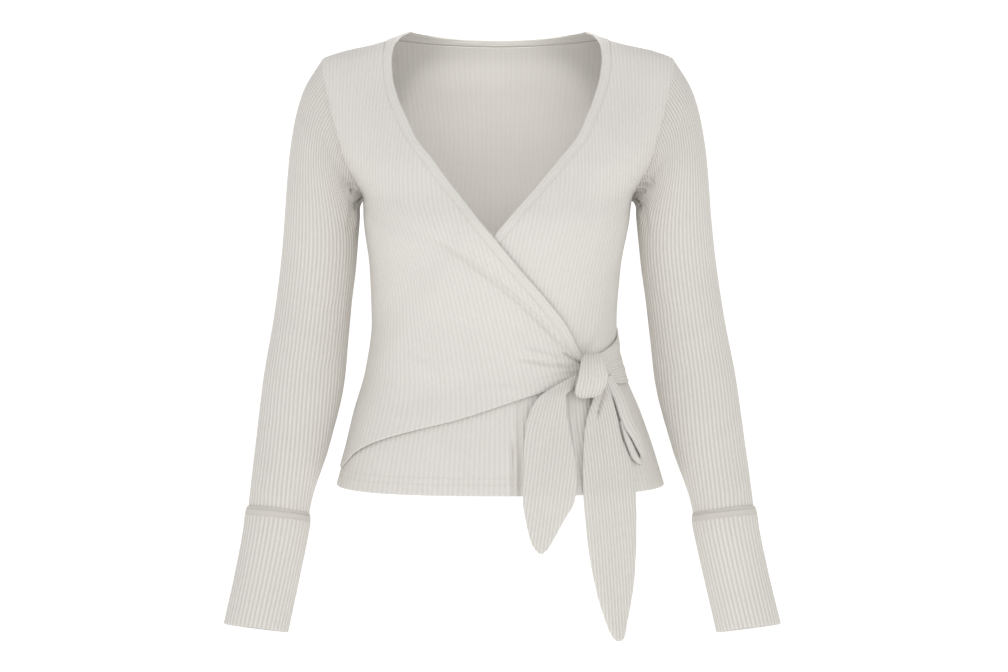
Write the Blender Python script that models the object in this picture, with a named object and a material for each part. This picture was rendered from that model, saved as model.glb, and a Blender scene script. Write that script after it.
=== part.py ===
"""Rib-knit wrap top, filled out as it is worn and open at neck, hem, armholes and cuffs.

Frame: +X is the wearer's left, the front faces -Y, +Z is up. The origin lies midway
between the two high points of the shoulders. Tables are in millimetres, and heights
are negative because everything hangs below the shoulders.
"""
import bpy
import bmesh
import numpy as np

MM = 0.001

# Cloth.
WALL = 1.4 * MM            # plain thickness of the rib knit
RIB = 0.55 * MM            # how far a rib stands out of the plain wall
BAND_WALL = 2.4 * MM       # folded neck binding, two layers
STRAP_WALL = 2.2 * MM      # plain thickness of a tie, two layers
SEAM = 0.3 * MM            # gap between two pieces at a seam
BAND_SEAM = 2.4 * MM       # furrow where a neck binding meets its panel
OVER_LIFT = 5.6 * MM       # how far the over front lies outside the under front
LIFT_START = 60 * MM       # it starts to lift this far above the hidden edge below it
LIFT_FULL = 5 * MM         # and lies this far above that edge when it's fully lifted
ARMHOLE_GAP = 3 * SEAM     # between a sleeve and the panels at the shoulder point
UNDERARM_GAP = 4 * MM      # how much wider that gap is under the arm
FULLNESS = 0.2             # how much fuller than an ellipse a body section is
PLAIN_STEP = 8             # outside columns for each column of the plain inside

# Heights.
SHOULDER_POINT = -31 * MM
YOKE = -100 * MM           # above this the ribs run straight up to the shoulder
ARMPIT = -176 * MM
HEM = -479 * MM
OVER_BAND_END = -334 * MM
UNDER_BAND_END = -366 * MM

# Ribs, numbered from the centre front towards the piece's own side seam.
OUTER_KEY = 22             # rib below the middle of the shoulder
SIDE_RIB = 39              # last rib, along the armhole and the side seam
GATHERED_RIB = -14         # last rib of the over front, gathered into the knot
BACK_RIBS = 40             # ribs on each half of the back
BACK_SPREAD = 0.035        # how much closer together they run towards its middle
SLEEVE_RIBS = 46
CUFF_RIBS = 42
TAIL_RIBS = 11

# Rows down a panel, as shares of each rib's length.
FRONT_ROWS = (0, 0.022, 0.07, 0.19, 0.335, 0.44, 0.535, 0.63, 0.725, 0.84, 1)
BACK_ROWS = (0, 0.018, 0.06, 0.17, 0.28, 0.328, 0.45, 0.6, 0.78, 1)
BAND_ROWS = 38             # rows along the binding of a front
BACK_BAND_ROWS = 25
TOUCHING = 1e-7            # how far past the body a point still counts as on it

# Inside of the body: height, half width on the wearer's right and left, front and
# back depth from the side seams.
BODY = (
    (0, 92, 92, 30, 44),
    (-4, 99, 99, 33, 47),
    (-9, 111, 111, 36, 50),
    (-16, 134, 134, 40, 54),
    (-22, 161, 161, 43, 58),
    (-31, 185, 185, 48, 63),
    (-50, 192, 192, 59, 71),
    (-80, 189, 189, 76, 82),
    (-110, 181, 181, 91, 89),
    (-140, 166, 166, 104, 93),
    (-160, 150, 150, 111, 94),
    (-176, 141, 140, 116, 93),
    (-200, 140, 137, 121, 90),
    (-250, 134, 128, 114, 79),
    (-310, 132, 124, 96, 73),
    (-352, 136, 130, 94, 80),
    (-403, 150, 147, 103, 96),
    (-440, 159, 159, 112, 106),
    (-479, 168, 170, 119, 113),
)

# Edge of the body at the armhole: height and distance from the centre.
ARMHOLE = (
    (-31, 185), (-44, 183), (-80, 175), (-110, 166.5),
    (-139, 158), (-158, 148.5), (-167, 144), (-176, 140.5),
)

# Front necklines: height, edge and band seam of the over front, edge and band seam of
# the under front, each as a distance from the centre towards the front's own side.
NECKLINE = (
    (-2.5, 97, 108, 97, 108),
    (-9, 103, 114.5, 103, 114),
    (-16, 108, 118, 107, 117),
    (-30, 110, 120, 108, 118),
    (-47, 109, 119, 106, 117),
    (-71, 103, 114, 99, 110),
    (-93, 93, 105, 90, 102),
    (-112, 84, 96, 81, 93),
    (-134, 67, 80, 63, 76),
    (-158, 49, 62, 43, 56),
    (-182, 30, 43, 22, 35),
    (-214, 4, 17, -5, 8),
    (-249, -24, -11, -31, -18),
    (-279, -49, -36, -54, -41),
    (-308, -70, -57, -75, -62),
    (-335, -83, -73, -91, -78),
    (-352, -95, -86, -110, -96),
    (-368, -95, -86, -134, -119),
    (-400, -95, -86, -190, -176),
)

# Back neck: height at the centre and on the shoulders, of its edge and its band seam.
BACK_NECK_EDGE = (-8.5, -2.5)
BACK_NECK_SEAM = (-16.5, -9.8)

# Ribs of the over front: height, then the distance of ribs 22, 15, 7, -1, -7 and -14
# from the centre.
OVER_KEYS = (22, 15, 7, -1, -7, -14)
OVER_RIBS = (
    (0, 114, 86, 55, 18, -18, -62),
    (-64, 118, 93, 58, 22, -14, -58),
    (-126, 122, 99, 61, 24, -12, -56),
    (-157, 122, 100, 61, 24, -10, -56),
    (-188, 118, 93, 56, 20, -12, -58),
    (-218, 109, 82, 47, 11, -15, -60),
    (-249, 100, 75, 41, 3, -24, -64),
    (-280, 96, 70, 34, -5, -33, -70),
    (-311, 95, 63, 27, -13, -41, -71),
    (-337, 97, 58, 22, -21, -51, -74.5),
    (-364, 100, 56, 19, -26, -64, -75.5),
    (-393, 105, 56, 19, -29, -69, -75.5),
    (-459, 124, 60, 19, -29, -69, -75.5),
)

# Ribs of the under front: height, then the distance of ribs 22, 15, 7, -7 and -22.
UNDER_KEYS = (22, 15, 7, -7, -22)
UNDER_RIBS = (
    (0, 114, 86, 55, -18, -62),
    (-64, 118, 93, 58, -14, -60),
    (-126, 122, 99, 61, -12, -60),
    (-157, 122, 100, 61, -10, -60),
    (-188, 118, 93, 56, -12, -64),
    (-218, 109, 82, 47, -15, -70),
    (-249, 100, 75, 41, -20, -79),
    (-280, 96, 70, 36, -25, -87),
    (-311, 94, 65, 33, -29, -92),
    (-364, 98, 66, 32, -32, -98),
    (-424, 104, 71, 33, -33, -104),
    (-479, 107, 73, 34, -34, -107),
)

# Lower edge of the over front: distance from the centre (own side) and height.
OVER_LOWER_EDGE = (
    (-80, -361), (-65, -365), (-46, -374), (-26, -380), (-8, -386), (44, -403),
    (82, -413), (121, -426), (145, -440), (163, -460),
)

# Hidden upper edge of the under front, below which the over front lies on it.
OVERLAP_START = ((-150, -160), (-30, -175), (10, -205), (75, -300), (134, -365))

# Sections of a sleeve: outermost point (distance from the centre, height), innermost
# point, half depth, and the middle's place in Y. They run from the armhole down.
SLEEVE = (
    (187, -31, 142, -176, 46, 0),
    (203, -62, 145.5, -182, 49, 0),
    (212, -95, 146, -188, 49, -1),
    (218.5, -137, 146, -198, 47, -1),
    (227, -236, 149, -242, 43, -2),
    (235, -300, 156, -302, 41, -6),
    (246, -365, 162, -368, 39, -12),
    (254, -430, 178, -435, 36, -20),
    (262, -499.5, 199, -508, 33, -28),
)
CUFF = (
    (264.5, -500, 198, -508.5, 34.5, -28),
    (275, -562, 208, -570, 33, -33),
    (287, -625, 222, -632, 33, -38),
)
CAP_EASE = (1, 0.5, 0.2, 0.05, 0, 0, 0, 0, 0)   # how far each section follows the armhole
LEFT_SWING = 0.02          # the wearer's left sleeve hangs this much further out
SWING_START = -190 * MM

# Tails of the tie: height, left and right edge in X. Then the middle line of the narrow
# loop, X, height and width, and how far the tails hang clear of the body at a height.
SHORT_TAIL = (
    (-377, 45, 70), (-398, 31, 69), (-445, 26, 73.5), (-479, 27, 76), (-507, 31, 66),
    (-528, 37, 53), (-537, 43, 45),
)
LONG_TAIL = (
    (-384, 96, 117), (-412, 91, 125), (-450, 87, 138), (-490, 89, 142), (-560, 98, 140),
    (-604, 110, 134), (-626, 123, 126),
)
TIE_LOOP = (
    (119, -372, 9), (127, -392, 10), (136, -416, 10), (144, -436, 8), (147.5, -447, 6),
    (144.5, -451.5, 5),
)
TAIL_LIFT = ((-626, 3.5), (-479, 3.5), (-430, 3.2), (-400, 5), (-377, 8))

# Strap from the side seam to the knot: heights of its edges, and its angle round the
# body from the side seam, each at the side seam and at the knot.
TIE_SIDE_TOP = (-312, -341)
TIE_SIDE_BOTTOM = (-371, -367)
TIE_SIDE_ANGLE = (0.015, 0.735)
TIE_SIDE_BOW = 0.8         # below 1 the upper edge drops soonest near the side seam
TIE_SIDE_LIFT = 1.6 * MM
LOOP_LIFT = 2 * MM

# Knot: a short ribbed barrel.
KNOT_CENTRE = (98, -91, -358)
KNOT_AXIS = (0.93, 0.30, 0.19)
KNOT_LENGTH = 38 * MM
KNOT_HEIGHT = 48 * MM
KNOT_DEPTH = 27 * MM
KNOT_HEIGHT_TAPER = 0.55   # share of its height that is gone at its ends
KNOT_DEPTH_TAPER = 0.6
KNOT_ROUNDING = 2.6
KNOT_RIBS = 8
KNOT_RIB = 0.8 * MM
KNOT_CORNERS = 14          # corners of each ring of it

# Colours of the cloth, linear RGB.
OATMEAL = (0.68, 0.65, 0.60, 1.0)
OATMEAL_BAND = (0.70, 0.67, 0.62, 1.0)


def smooth_curve(rows, column):
    """Return one column of a table as a monotone cubic function of its first column."""
    ordered = sorted(rows)
    at = np.array([row[0] for row in ordered]) * MM
    value = np.array([row[column] for row in ordered]) * MM
    step = np.diff(at)
    slope = np.diff(value) / step
    tangent = np.concatenate(([slope[0]], np.zeros(len(step) - 1), [slope[-1]]))
    for i in range(1, len(step)):
        if slope[i - 1] * slope[i] > 0:
            tangent[i] = 2 / (1 / slope[i - 1] + 1 / slope[i])

    def curve(x):
        x = np.clip(x, at[0], at[-1])
        i = np.clip(np.searchsorted(at, x) - 1, 0, len(step) - 1)
        s = (x - at[i]) / step[i]
        start = value[i] * (1 + 2 * s) * (1 - s) ** 2 + tangent[i] * step[i] * s * (1 - s) ** 2
        end = value[i + 1] * s * s * (3 - 2 * s) + tangent[i + 1] * step[i] * s * s * (s - 1)
        return start + end

    return curve


RIGHT_WIDTH, LEFT_WIDTH, FRONT_DEPTH, BACK_DEPTH = [smooth_curve(BODY, i) for i in (1, 2, 3, 4)]
ARMHOLE_EDGE = smooth_curve(ARMHOLE, 1)


def ease(low, high, x):
    """Rise smoothly from 0 at low to 1 at high."""
    s = np.clip((x - low) / (high - low), 0, 1)
    return s * s * (3 - 2 * s)


def half_width(side, across, z):
    """Half width of the body at height z, on the side that 'across' lies on."""
    own, other = (LEFT_WIDTH, RIGHT_WIDTH) if side > 0 else (RIGHT_WIDTH, LEFT_WIDTH)
    return np.where(across >= 0, own(z), other(z))


def body_point(side, across, z, lift=0.0, depth=FRONT_DEPTH, facing=-1):
    """Point on the body section at height z: 'across' is its distance from the centre
    towards the piece's own side. A lift moves the section outwards."""
    width = half_width(side, across, z)
    cosine = np.clip(across / width, -1, 1)
    sine = np.sqrt(1 - cosine ** 2)
    y = (depth(z) + lift) * sine * (1 + FULLNESS * cosine ** 2)
    y = np.maximum(y, SEAM / 2)
    return np.stack((side * (width + lift) * cosine, facing * y, z), axis=-1)


def panel_edge(width, z):
    """Where the last column of a panel runs: the armhole above the armpit and the side
    seam, 'width' from the centre, below it. Over the shoulder it runs past the body."""
    edge = np.where(z > ARMPIT, np.minimum(ARMHOLE_EDGE(z), width), width)
    return np.where(z > SHOULDER_POINT, ARMHOLE_EDGE(z), edge)


def rib_distance(keys, curves, side, rib, z):
    """Distance from the centre of a rib at height z. Between key ribs it is linear, and
    beyond the outer key the ribs spread evenly to the armhole and the side seam."""
    known = np.stack([curve(z) for curve in curves])
    order = np.argsort(keys)
    keys = np.array(keys, dtype=float)[order]
    known = known[order]
    i = np.clip(np.searchsorted(keys, rib) - 1, 0, len(keys) - 2)
    share = np.clip((rib - keys[i]) / (keys[i + 1] - keys[i]), 0, 1)
    low = np.take_along_axis(known, i[None], 0)[0]
    high = np.take_along_axis(known, i[None] + 1, 0)[0]
    inner = low + (high - low) * share
    beyond = np.clip((np.abs(rib) - OUTER_KEY) / (SIDE_RIB - OUTER_KEY), 0, 1)
    width = half_width(side, rib, z)
    edge = panel_edge(width, z)
    flat = np.abs(inner) + (edge - np.abs(inner)) * beyond
    angle = np.arccos(np.clip(np.abs(inner) / width, 0, 1))
    last = np.arccos(np.clip(edge / width, 0, 1))
    round_body = width * np.cos(angle + (last - angle) * beyond)
    share = ease(ARMPIT, YOKE, z)
    outer = np.where(z > SHOULDER_POINT, flat, flat * share + round_body * (1 - share))
    return np.where(beyond > 0, np.sign(rib) * outer, inner)


def column_tops(distance, inside, low):
    """Height at which each column last enters the piece on its way down."""
    heights = np.linspace(0, low, 1200)
    grid = np.broadcast_to(heights[:, None], (len(heights), len(distance(0.0))))
    outside = ~inside(distance(grid), grid)
    last_outside = len(heights) - 1 - np.argmax(outside[::-1], axis=0)
    above, below = heights[last_outside], heights[last_outside + 1]
    for _ in range(30):
        middle = (above + below) / 2
        within = inside(distance(middle), middle)
        above, below = np.where(within, above, middle), np.where(within, middle, below)
    return below


def grid_normals(points, away_from, closed):
    """Unit normals of a grid of points, pointing away from 'away_from'."""
    if closed:
        wrapped = np.concatenate((points[:, -1:], points, points[:, :1]), axis=1)
        across = np.gradient(wrapped, axis=1)[:, 1:-1]
    else:
        across = np.gradient(points, axis=1)
    normal = np.cross(across, np.gradient(points, axis=0))
    normal /= np.linalg.norm(normal, axis=-1, keepdims=True)
    facing = np.sum(normal * (points - away_from), axis=-1, keepdims=True)
    return normal * np.sign(np.mean(facing))


def cloth_material(name, colour):
    """Matt knitted cotton and viscose."""
    material = bpy.data.materials.new(name)
    material.use_nodes = True
    shader = material.node_tree.nodes["Principled BSDF"]
    shader.inputs["Base Color"].default_value = colour
    shader.inputs["Roughness"].default_value = 0.9
    shader.inputs["Metallic"].default_value = 0.0
    return material


def add_solid(name, points, faces, material):
    """Add one closed body with its faces pointing outwards."""
    mesh = bpy.data.meshes.new(name)
    shell = bmesh.new()
    corners = [shell.verts.new(p) for p in points]
    for face in faces:
        shell.faces.new([corners[i] for i in face])
    bmesh.ops.recalc_face_normals(shell, faces=shell.faces)
    shell.to_mesh(mesh)
    shell.free()
    mesh.materials.append(material)
    bpy.context.collection.objects.link(bpy.data.objects.new(name, mesh))


def rim(outer, inner, starts):
    """Faces of a narrow rim between a fine row of corners and a sparse one. starts[k] is
    the place along the fine row that sparse corner k faces."""
    faces = []
    for k in range(len(starts) - 1):
        middle = (starts[k] + starts[k + 1]) // 2
        faces += [(outer[i], outer[i + 1], inner[k]) for i in range(starts[k], middle)]
        faces.append((outer[middle], inner[k + 1], inner[k]))
        faces += [(outer[i], outer[i + 1], inner[k + 1]) for i in range(middle, starts[k + 1])]
    return faces


def add_cloth(name, inside, raised, away_from, material, closed=False, step=PLAIN_STEP,
              facing=0):
    """Add a wall of cloth: a ribbed outside over a plain inside with fewer columns.

    inside is a grid of points, rows down the piece and columns along its ribs, and
    raised is the thickness there. A closed grid runs all the way round a tube. A body
    panel faces the front, -1, or the back, 1, and stays on its side of the side seams."""
    outside = inside + grid_normals(inside, away_from, closed) * raised[..., None]
    if facing:
        outside[..., 1] = facing * np.maximum(facing * outside[..., 1], SEAM / 2)
    rows, columns = inside.shape[:2]
    kept = list(range(0, columns, step))
    if not closed and kept[-1] != columns - 1:
        kept.append(columns - 1)
    outer = np.arange(rows * columns).reshape(rows, columns)
    inner = rows * columns + np.arange(rows * len(kept)).reshape(rows, len(kept))
    points = np.concatenate((outside.reshape(-1, 3), inside[:, kept].reshape(-1, 3)))
    starts = list(kept)
    if closed:
        outer = np.concatenate((outer, outer[:, :1]), axis=1)
        inner = np.concatenate((inner, inner[:, :1]), axis=1)
        starts.append(columns)
    faces = []
    for sheet in (outer, inner):
        for r in range(rows - 1):
            for c in range(sheet.shape[1] - 1):
                faces.append((sheet[r, c], sheet[r, c + 1], sheet[r + 1, c + 1], sheet[r + 1, c]))
    faces += rim(outer[0], inner[0], starts)
    faces += rim(outer[-1], inner[-1], starts)
    if not closed:
        for r in range(rows - 1):
            for c in (0, -1):
                faces.append((outer[r, c], outer[r + 1, c], inner[r + 1, c], inner[r, c]))
    add_solid(name, points, faces, material)


def rib_columns(first, last):
    """Ribs and furrows from one rib to another: two columns for each rib."""
    count = 2 * abs(last - first)
    columns = np.linspace(first, last, count + 1)
    raised = np.where(np.arange(count + 1) % 2 == 1, WALL + RIB, WALL)
    return columns, raised


def rows_between(top, bottom, shares):
    """Heights of the rows of a panel, closer where the shoulder curves over."""
    return top + (bottom - top) * np.array(shares)[:, None]


def add_front(name, side, keys, table, last_rib, neck_column, lower_edge, lift, material):
    """Add a front panel, cut along its neck band seam, shoulder, armhole and lower edge."""
    curves = [smooth_curve(table, i + 1) for i in range(len(keys))]
    seam = smooth_curve(NECKLINE, neck_column)
    ribs, raised = rib_columns(SIDE_RIB, last_rib)

    def distance(z):
        rib = np.broadcast_to(ribs, np.shape(z) if np.ndim(z) else ribs.shape)
        return rib_distance(keys, curves, side, rib, np.broadcast_to(z, rib.shape))

    def is_inside(across, z):
        return (across > seam(z) + BAND_SEAM) & (np.abs(across) <= half_width(side, across, z) + TOUCHING)

    top = column_tops(distance, is_inside, HEM)
    bottom = lower_edge(distance, top)
    z = rows_between(top, bottom, FRONT_ROWS)
    across = distance(z)
    inside = body_point(side, across, z, lift(across, z))
    raised = np.broadcast_to(raised, z.shape)
    add_cloth(name, inside, raised, inside * (0, 0, 1), material, facing=-1)


def over_lower_edge(distance, top):
    """Height where each rib of the over front meets its lower edge."""
    edge = smooth_curve(OVER_LOWER_EDGE, 1)
    bottom = np.full_like(top, -380 * MM)
    for _ in range(30):
        bottom = 0.5 * bottom + 0.5 * edge(distance(bottom))
    return bottom


def under_lower_edge(distance, top):
    """The hem is level."""
    return np.full_like(top, HEM)


def over_lift(across, z):
    """The over front lies on the body above the overlap and on the under front in it."""
    start = smooth_curve(OVERLAP_START, 1)(across)
    return OVER_LIFT * ease(start + LIFT_START, start + LIFT_FULL, z)


def no_lift(across, z):
    """The under front lies on the body."""
    return np.zeros_like(z)


def back_neck(share, curve):
    """Back neck curve: a parabola between its two ends on the shoulders."""
    middle, end = np.array(curve) * MM
    return LEFT_WIDTH(end) * share, middle + (end - middle) * share ** 2


def add_back(material):
    """Add the back, from the back neck and shoulders to the hem."""
    ribs, raised = rib_columns(-BACK_RIBS, BACK_RIBS)
    share = np.abs(ribs) / BACK_RIBS

    def distance(z):
        part = np.broadcast_to(share, np.shape(z) if np.ndim(z) else share.shape)
        z = np.broadcast_to(z, part.shape)
        sign = np.sign(np.broadcast_to(ribs, part.shape))
        width = half_width(1, sign, z)
        edge = panel_edge(width, z)
        last = np.arccos(np.clip(edge / width, 0, 1))
        q = 1 - part
        angle = last + (np.pi / 2 - last) * (q + BACK_SPREAD * np.sin(np.pi * q))
        round_body = width * np.cos(angle)
        mix = ease(ARMPIT, YOKE, z)
        return sign * (edge * part * mix + round_body * (1 - mix))

    def is_inside(across, z):
        reach = LEFT_WIDTH(BACK_NECK_SEAM[1] * MM)
        _, seam = back_neck(np.clip(np.abs(across) / reach, 0, 1), BACK_NECK_SEAM)
        below = (z < seam - BAND_SEAM) | (np.abs(across) > reach)
        return below & (np.abs(across) <= half_width(1, across, z) + TOUCHING)

    top = column_tops(distance, is_inside, HEM)
    z = rows_between(top, np.full_like(top, HEM), BACK_ROWS)
    inside = body_point(1, distance(z), z, depth=BACK_DEPTH, facing=1)
    raised = np.broadcast_to(raised, z.shape)
    add_cloth("back", inside, raised, inside * (0, 0, 1), material, facing=1)


def sleeve_ring(side, row, angle):
    """Section of a sleeve: an ellipse between its outermost and innermost points."""
    outer_x, outer_z, inner_x, inner_z, depth, middle = np.array(row) * MM
    wall = WALL + RIB
    span = np.array((outer_x - inner_x, 0, outer_z - inner_z))
    half = span / 2 * (1 - 2 * wall / np.linalg.norm(span))
    centre = np.array(((outer_x + inner_x) / 2, middle, (outer_z + inner_z) / 2))
    ring = centre + np.cos(angle)[:, None] * half
    ring[:, 1] -= np.sin(angle) * (depth - wall)
    if side > 0:
        ring[:, 0] += LEFT_SWING * np.maximum(SWING_START - ring[:, 2], 0)
    ring[:, 0] *= side
    return ring


def armhole_ring(side, angle):
    """The armhole on the body, a little outside the panels' edges: angle 0 is the
    shoulder point, and the front half comes first."""
    z = (SHOULDER_POINT + ARMPIT) / 2 + (SHOULDER_POINT - ARMPIT) / 2 * np.cos(angle)
    across = ARMHOLE_EDGE(z)
    front = body_point(side, across, z)
    back = body_point(side, across, z, depth=BACK_DEPTH, facing=1)
    ring = np.where((np.sin(angle) >= 0)[:, None], front, back)
    under_arm = np.sin(angle / 2) ** 2
    ring[:, 0] += side * (ARMHOLE_GAP + UNDERARM_GAP * under_arm)
    return ring


def add_tube(name, side, rows, ribs, follow, material):
    """Add a sleeve or a cuff from its sections."""
    angle = np.linspace(0, 2 * np.pi, 2 * ribs, endpoint=False)
    rings = np.stack([sleeve_ring(side, row, angle) for row in rows])
    if follow:
        shift = armhole_ring(side, angle) - rings[0]
        rings += np.array(follow)[:, None, None] * shift
    raised = np.where(np.arange(len(angle)) % 2 == 1, WALL + RIB, WALL)
    raised = np.broadcast_to(raised, rings.shape[:2])
    centre = rings.mean(axis=1, keepdims=True)
    add_cloth(name, rings, raised, centre, material, closed=True)


def add_neck_band(name, side, edge_column, seam_column, low, lift, material):
    """Add the binding along a front neckline, from the shoulder to height 'low'."""
    edge = smooth_curve(NECKLINE, edge_column)
    seam = smooth_curve(NECKLINE, seam_column)
    top = np.array((BACK_NECK_EDGE[1], BACK_NECK_SEAM[1])) * MM
    z = top + (low - top) * np.linspace(0, 1, BAND_ROWS)[:, None]
    limit = half_width(side, edge(z), z)
    across = np.stack((edge(z[:, 0]), seam(z[:, 1])), axis=1)
    across = np.clip(across, -limit, limit)
    inside = body_point(side, across, z, lift(across, z))
    raised = np.full(z.shape, BAND_WALL)
    add_cloth(name, inside, raised, inside * (0, 0, 1), material, step=1, facing=-1)


def add_back_neck_band(material):
    """Add the binding along the back neck."""
    share = np.linspace(-1, 1, BACK_BAND_ROWS)[:, None]
    edge_x, edge_z = back_neck(share, BACK_NECK_EDGE)
    seam_x, seam_z = back_neck(share, BACK_NECK_SEAM)
    down = np.array((0, 1))[None, :]
    across = edge_x + (seam_x - edge_x) * down
    z = edge_z + (seam_z - edge_z) * down
    inside = body_point(1, across, z, depth=BACK_DEPTH, facing=1)
    raised = np.full(z.shape, BAND_WALL)
    add_cloth("neck_band_back", inside, raised, inside * (0, 0, 1), material, step=1,
              facing=1)


def add_tail(name, table, material):
    """Add a hanging tail of the tie: a folded strap with ribs along both faces."""
    left = smooth_curve(table, 1)
    right = smooth_curve(table, 2)
    lift = smooth_curve(TAIL_LIFT, 1)
    heights = np.array([row[0] for row in table]) * MM
    count = 2 * TAIL_RIBS
    share = np.linspace(0, 1, count + 1)[None, :]
    z = heights[:, None] * np.ones_like(share)
    across = left(z) + (right(z) - left(z)) * share
    body_z = np.maximum(z, HEM)
    surface = body_point(1, across, body_z, WALL + RIB + lift(z))
    surface[..., 2] = z
    bumps = np.where(np.arange(count + 1) % 2 == 1, RIB, 0.0)[None, :] * np.ones_like(z)
    normal = grid_normals(surface, surface * (0, 0, 1), False)
    inside = surface - normal * bumps[..., None]
    raised = STRAP_WALL + 2 * bumps
    add_cloth(name, inside, raised, surface * (0, 0, 1), material, step=1)


def add_tie_side(material):
    """Add the strap that runs from the wearer's left side seam to the knot."""
    along = np.linspace(0, 1, 8)[:, None]
    down = np.linspace(0, 1, 5)[None, :]
    top = TIE_SIDE_TOP[0] + (TIE_SIDE_TOP[1] - TIE_SIDE_TOP[0]) * along ** TIE_SIDE_BOW
    bottom = TIE_SIDE_BOTTOM[0] + (TIE_SIDE_BOTTOM[1] - TIE_SIDE_BOTTOM[0]) * along
    z = (top + (bottom - top) * down) * MM
    angle = TIE_SIDE_ANGLE[0] + (TIE_SIDE_ANGLE[1] - TIE_SIDE_ANGLE[0]) * along
    across = LEFT_WIDTH(z) * np.cos(angle)
    inside = body_point(1, across, z, WALL + RIB + TIE_SIDE_LIFT)
    raised = np.full(z.shape, STRAP_WALL)
    add_cloth("tie_side", inside, raised, inside * (0, 0, 1), material, step=1)


def add_knot(material):
    """Add the knot: the strap wrapped up and over, ribs running round a short barrel
    whose axis follows the body."""
    centre = np.array(KNOT_CENTRE) * MM
    axis = np.array(KNOT_AXIS) / np.linalg.norm(KNOT_AXIS)
    up = np.array((0, 0, 1)) - axis * axis[2]
    up /= np.linalg.norm(up)
    out = np.cross(up, axis)
    share = np.linspace(-1, 1, 2 * KNOT_RIBS + 1)[1:-1]
    around = KNOT_CORNERS
    turn = np.linspace(0, 2 * np.pi, around, endpoint=False)
    near_end = np.abs(share) ** KNOT_ROUNDING
    height = KNOT_HEIGHT / 2 * (1 - KNOT_HEIGHT_TAPER * near_end)
    depth = KNOT_DEPTH / 2 * (1 - KNOT_DEPTH_TAPER * near_end)
    bump = np.where(np.arange(len(share)) % 2 == 0, KNOT_RIB, 0)
    points = []
    for s, h, d, b in zip(share, height, depth, bump):
        ring = centre + axis * s * KNOT_LENGTH / 2
        for t in turn:
            points.append(ring + up * (h + b) * np.cos(t) + out * (d + b) * np.sin(t))
    faces = []
    for r in range(len(share) - 1):
        for k in range(around):
            n = (k + 1) % around
            faces.append((r * around + k, r * around + n, (r + 1) * around + n, (r + 1) * around + k))
    faces.append(tuple(range(around)))
    faces.append(tuple(range((len(share) - 1) * around, len(share) * around)))
    add_solid("knot", points, faces, material)


def add_tie_loop(material):
    """Add the narrow hairpin loop of strap beside the long tail."""
    points = np.array([(x, z) for x, z, _ in TIE_LOOP]) * MM
    width = np.array([w for _, _, w in TIE_LOOP]) * MM / 2
    heading = np.gradient(points, axis=0)
    heading /= np.linalg.norm(heading, axis=1, keepdims=True)
    sideways = np.stack((-heading[:, 1], heading[:, 0]), axis=1)
    share = np.linspace(-1, 1, 5)
    x = points[:, :1] + sideways[:, :1] * width[:, None] * share
    z = points[:, 1:] + sideways[:, 1:] * width[:, None] * share
    inside = body_point(1, x, z, WALL + RIB + LOOP_LIFT)
    raised = np.full(z.shape, STRAP_WALL)
    add_cloth("tie_loop", inside, raised, inside * (0, 0, 1), material, step=1)


def build():
    """Build every piece of the top."""
    for item in list(bpy.data.objects):
        bpy.data.objects.remove(item, do_unlink=True)
    cloth = cloth_material("rib_knit", OATMEAL)
    binding = cloth_material("rib_knit_binding", OATMEAL_BAND)
    add_back(cloth)
    add_front("front_under", 1, UNDER_KEYS, UNDER_RIBS, -SIDE_RIB, 4, under_lower_edge,
              no_lift, cloth)
    add_front("front_over", -1, OVER_KEYS, OVER_RIBS, GATHERED_RIB, 2, over_lower_edge,
              over_lift, cloth)
    for side, word in ((-1, "right"), (1, "left")):
        add_tube("sleeve_" + word, side, SLEEVE, SLEEVE_RIBS, CAP_EASE, cloth)
        add_tube("cuff_" + word, side, CUFF, CUFF_RIBS, None, cloth)
    add_neck_band("neck_band_over", -1, 1, 2, OVER_BAND_END, over_lift, binding)
    add_neck_band("neck_band_under", 1, 3, 4, UNDER_BAND_END, no_lift, binding)
    add_back_neck_band(binding)
    add_tie_side(binding)
    add_knot(cloth)
    add_tail("tail_short", SHORT_TAIL, cloth)
    add_tail("tail_long", LONG_TAIL, cloth)
    add_tie_loop(cloth)


build()
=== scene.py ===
"""Rib-knit wrap top, filled out as it is worn, in a plain white studio.

Every piece is cloth: a grid of columns along its ribs and rows across them. A column's
place on the body or sleeve comes from the tables of sections, its rib stands out along
the surface normal as half a cosine, and listed creases add soft troughs and ridges
along the same normal: height times exp(-(distance from the crease / width) squared).
Lengths in tables are millimetres in the frame of the CAD model.
"""

import math

import bpy
import numpy as np
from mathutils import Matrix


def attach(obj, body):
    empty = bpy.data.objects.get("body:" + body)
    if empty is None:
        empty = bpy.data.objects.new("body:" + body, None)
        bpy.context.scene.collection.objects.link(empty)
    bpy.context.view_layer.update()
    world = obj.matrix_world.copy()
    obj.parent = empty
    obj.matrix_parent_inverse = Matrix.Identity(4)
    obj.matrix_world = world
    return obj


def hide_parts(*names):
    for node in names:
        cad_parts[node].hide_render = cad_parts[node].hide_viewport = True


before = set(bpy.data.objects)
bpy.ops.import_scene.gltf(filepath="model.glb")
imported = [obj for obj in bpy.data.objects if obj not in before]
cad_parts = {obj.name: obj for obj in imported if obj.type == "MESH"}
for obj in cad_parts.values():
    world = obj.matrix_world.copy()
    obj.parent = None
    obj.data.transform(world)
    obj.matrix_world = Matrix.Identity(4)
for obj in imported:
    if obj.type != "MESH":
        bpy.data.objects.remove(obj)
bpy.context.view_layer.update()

# ---------------------------------------------------------------------------------------
# Picture: camera, white studio and lights. The camera looks a little down at the top from
# three metres, and large soft lights leave only faint shadows.

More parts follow.
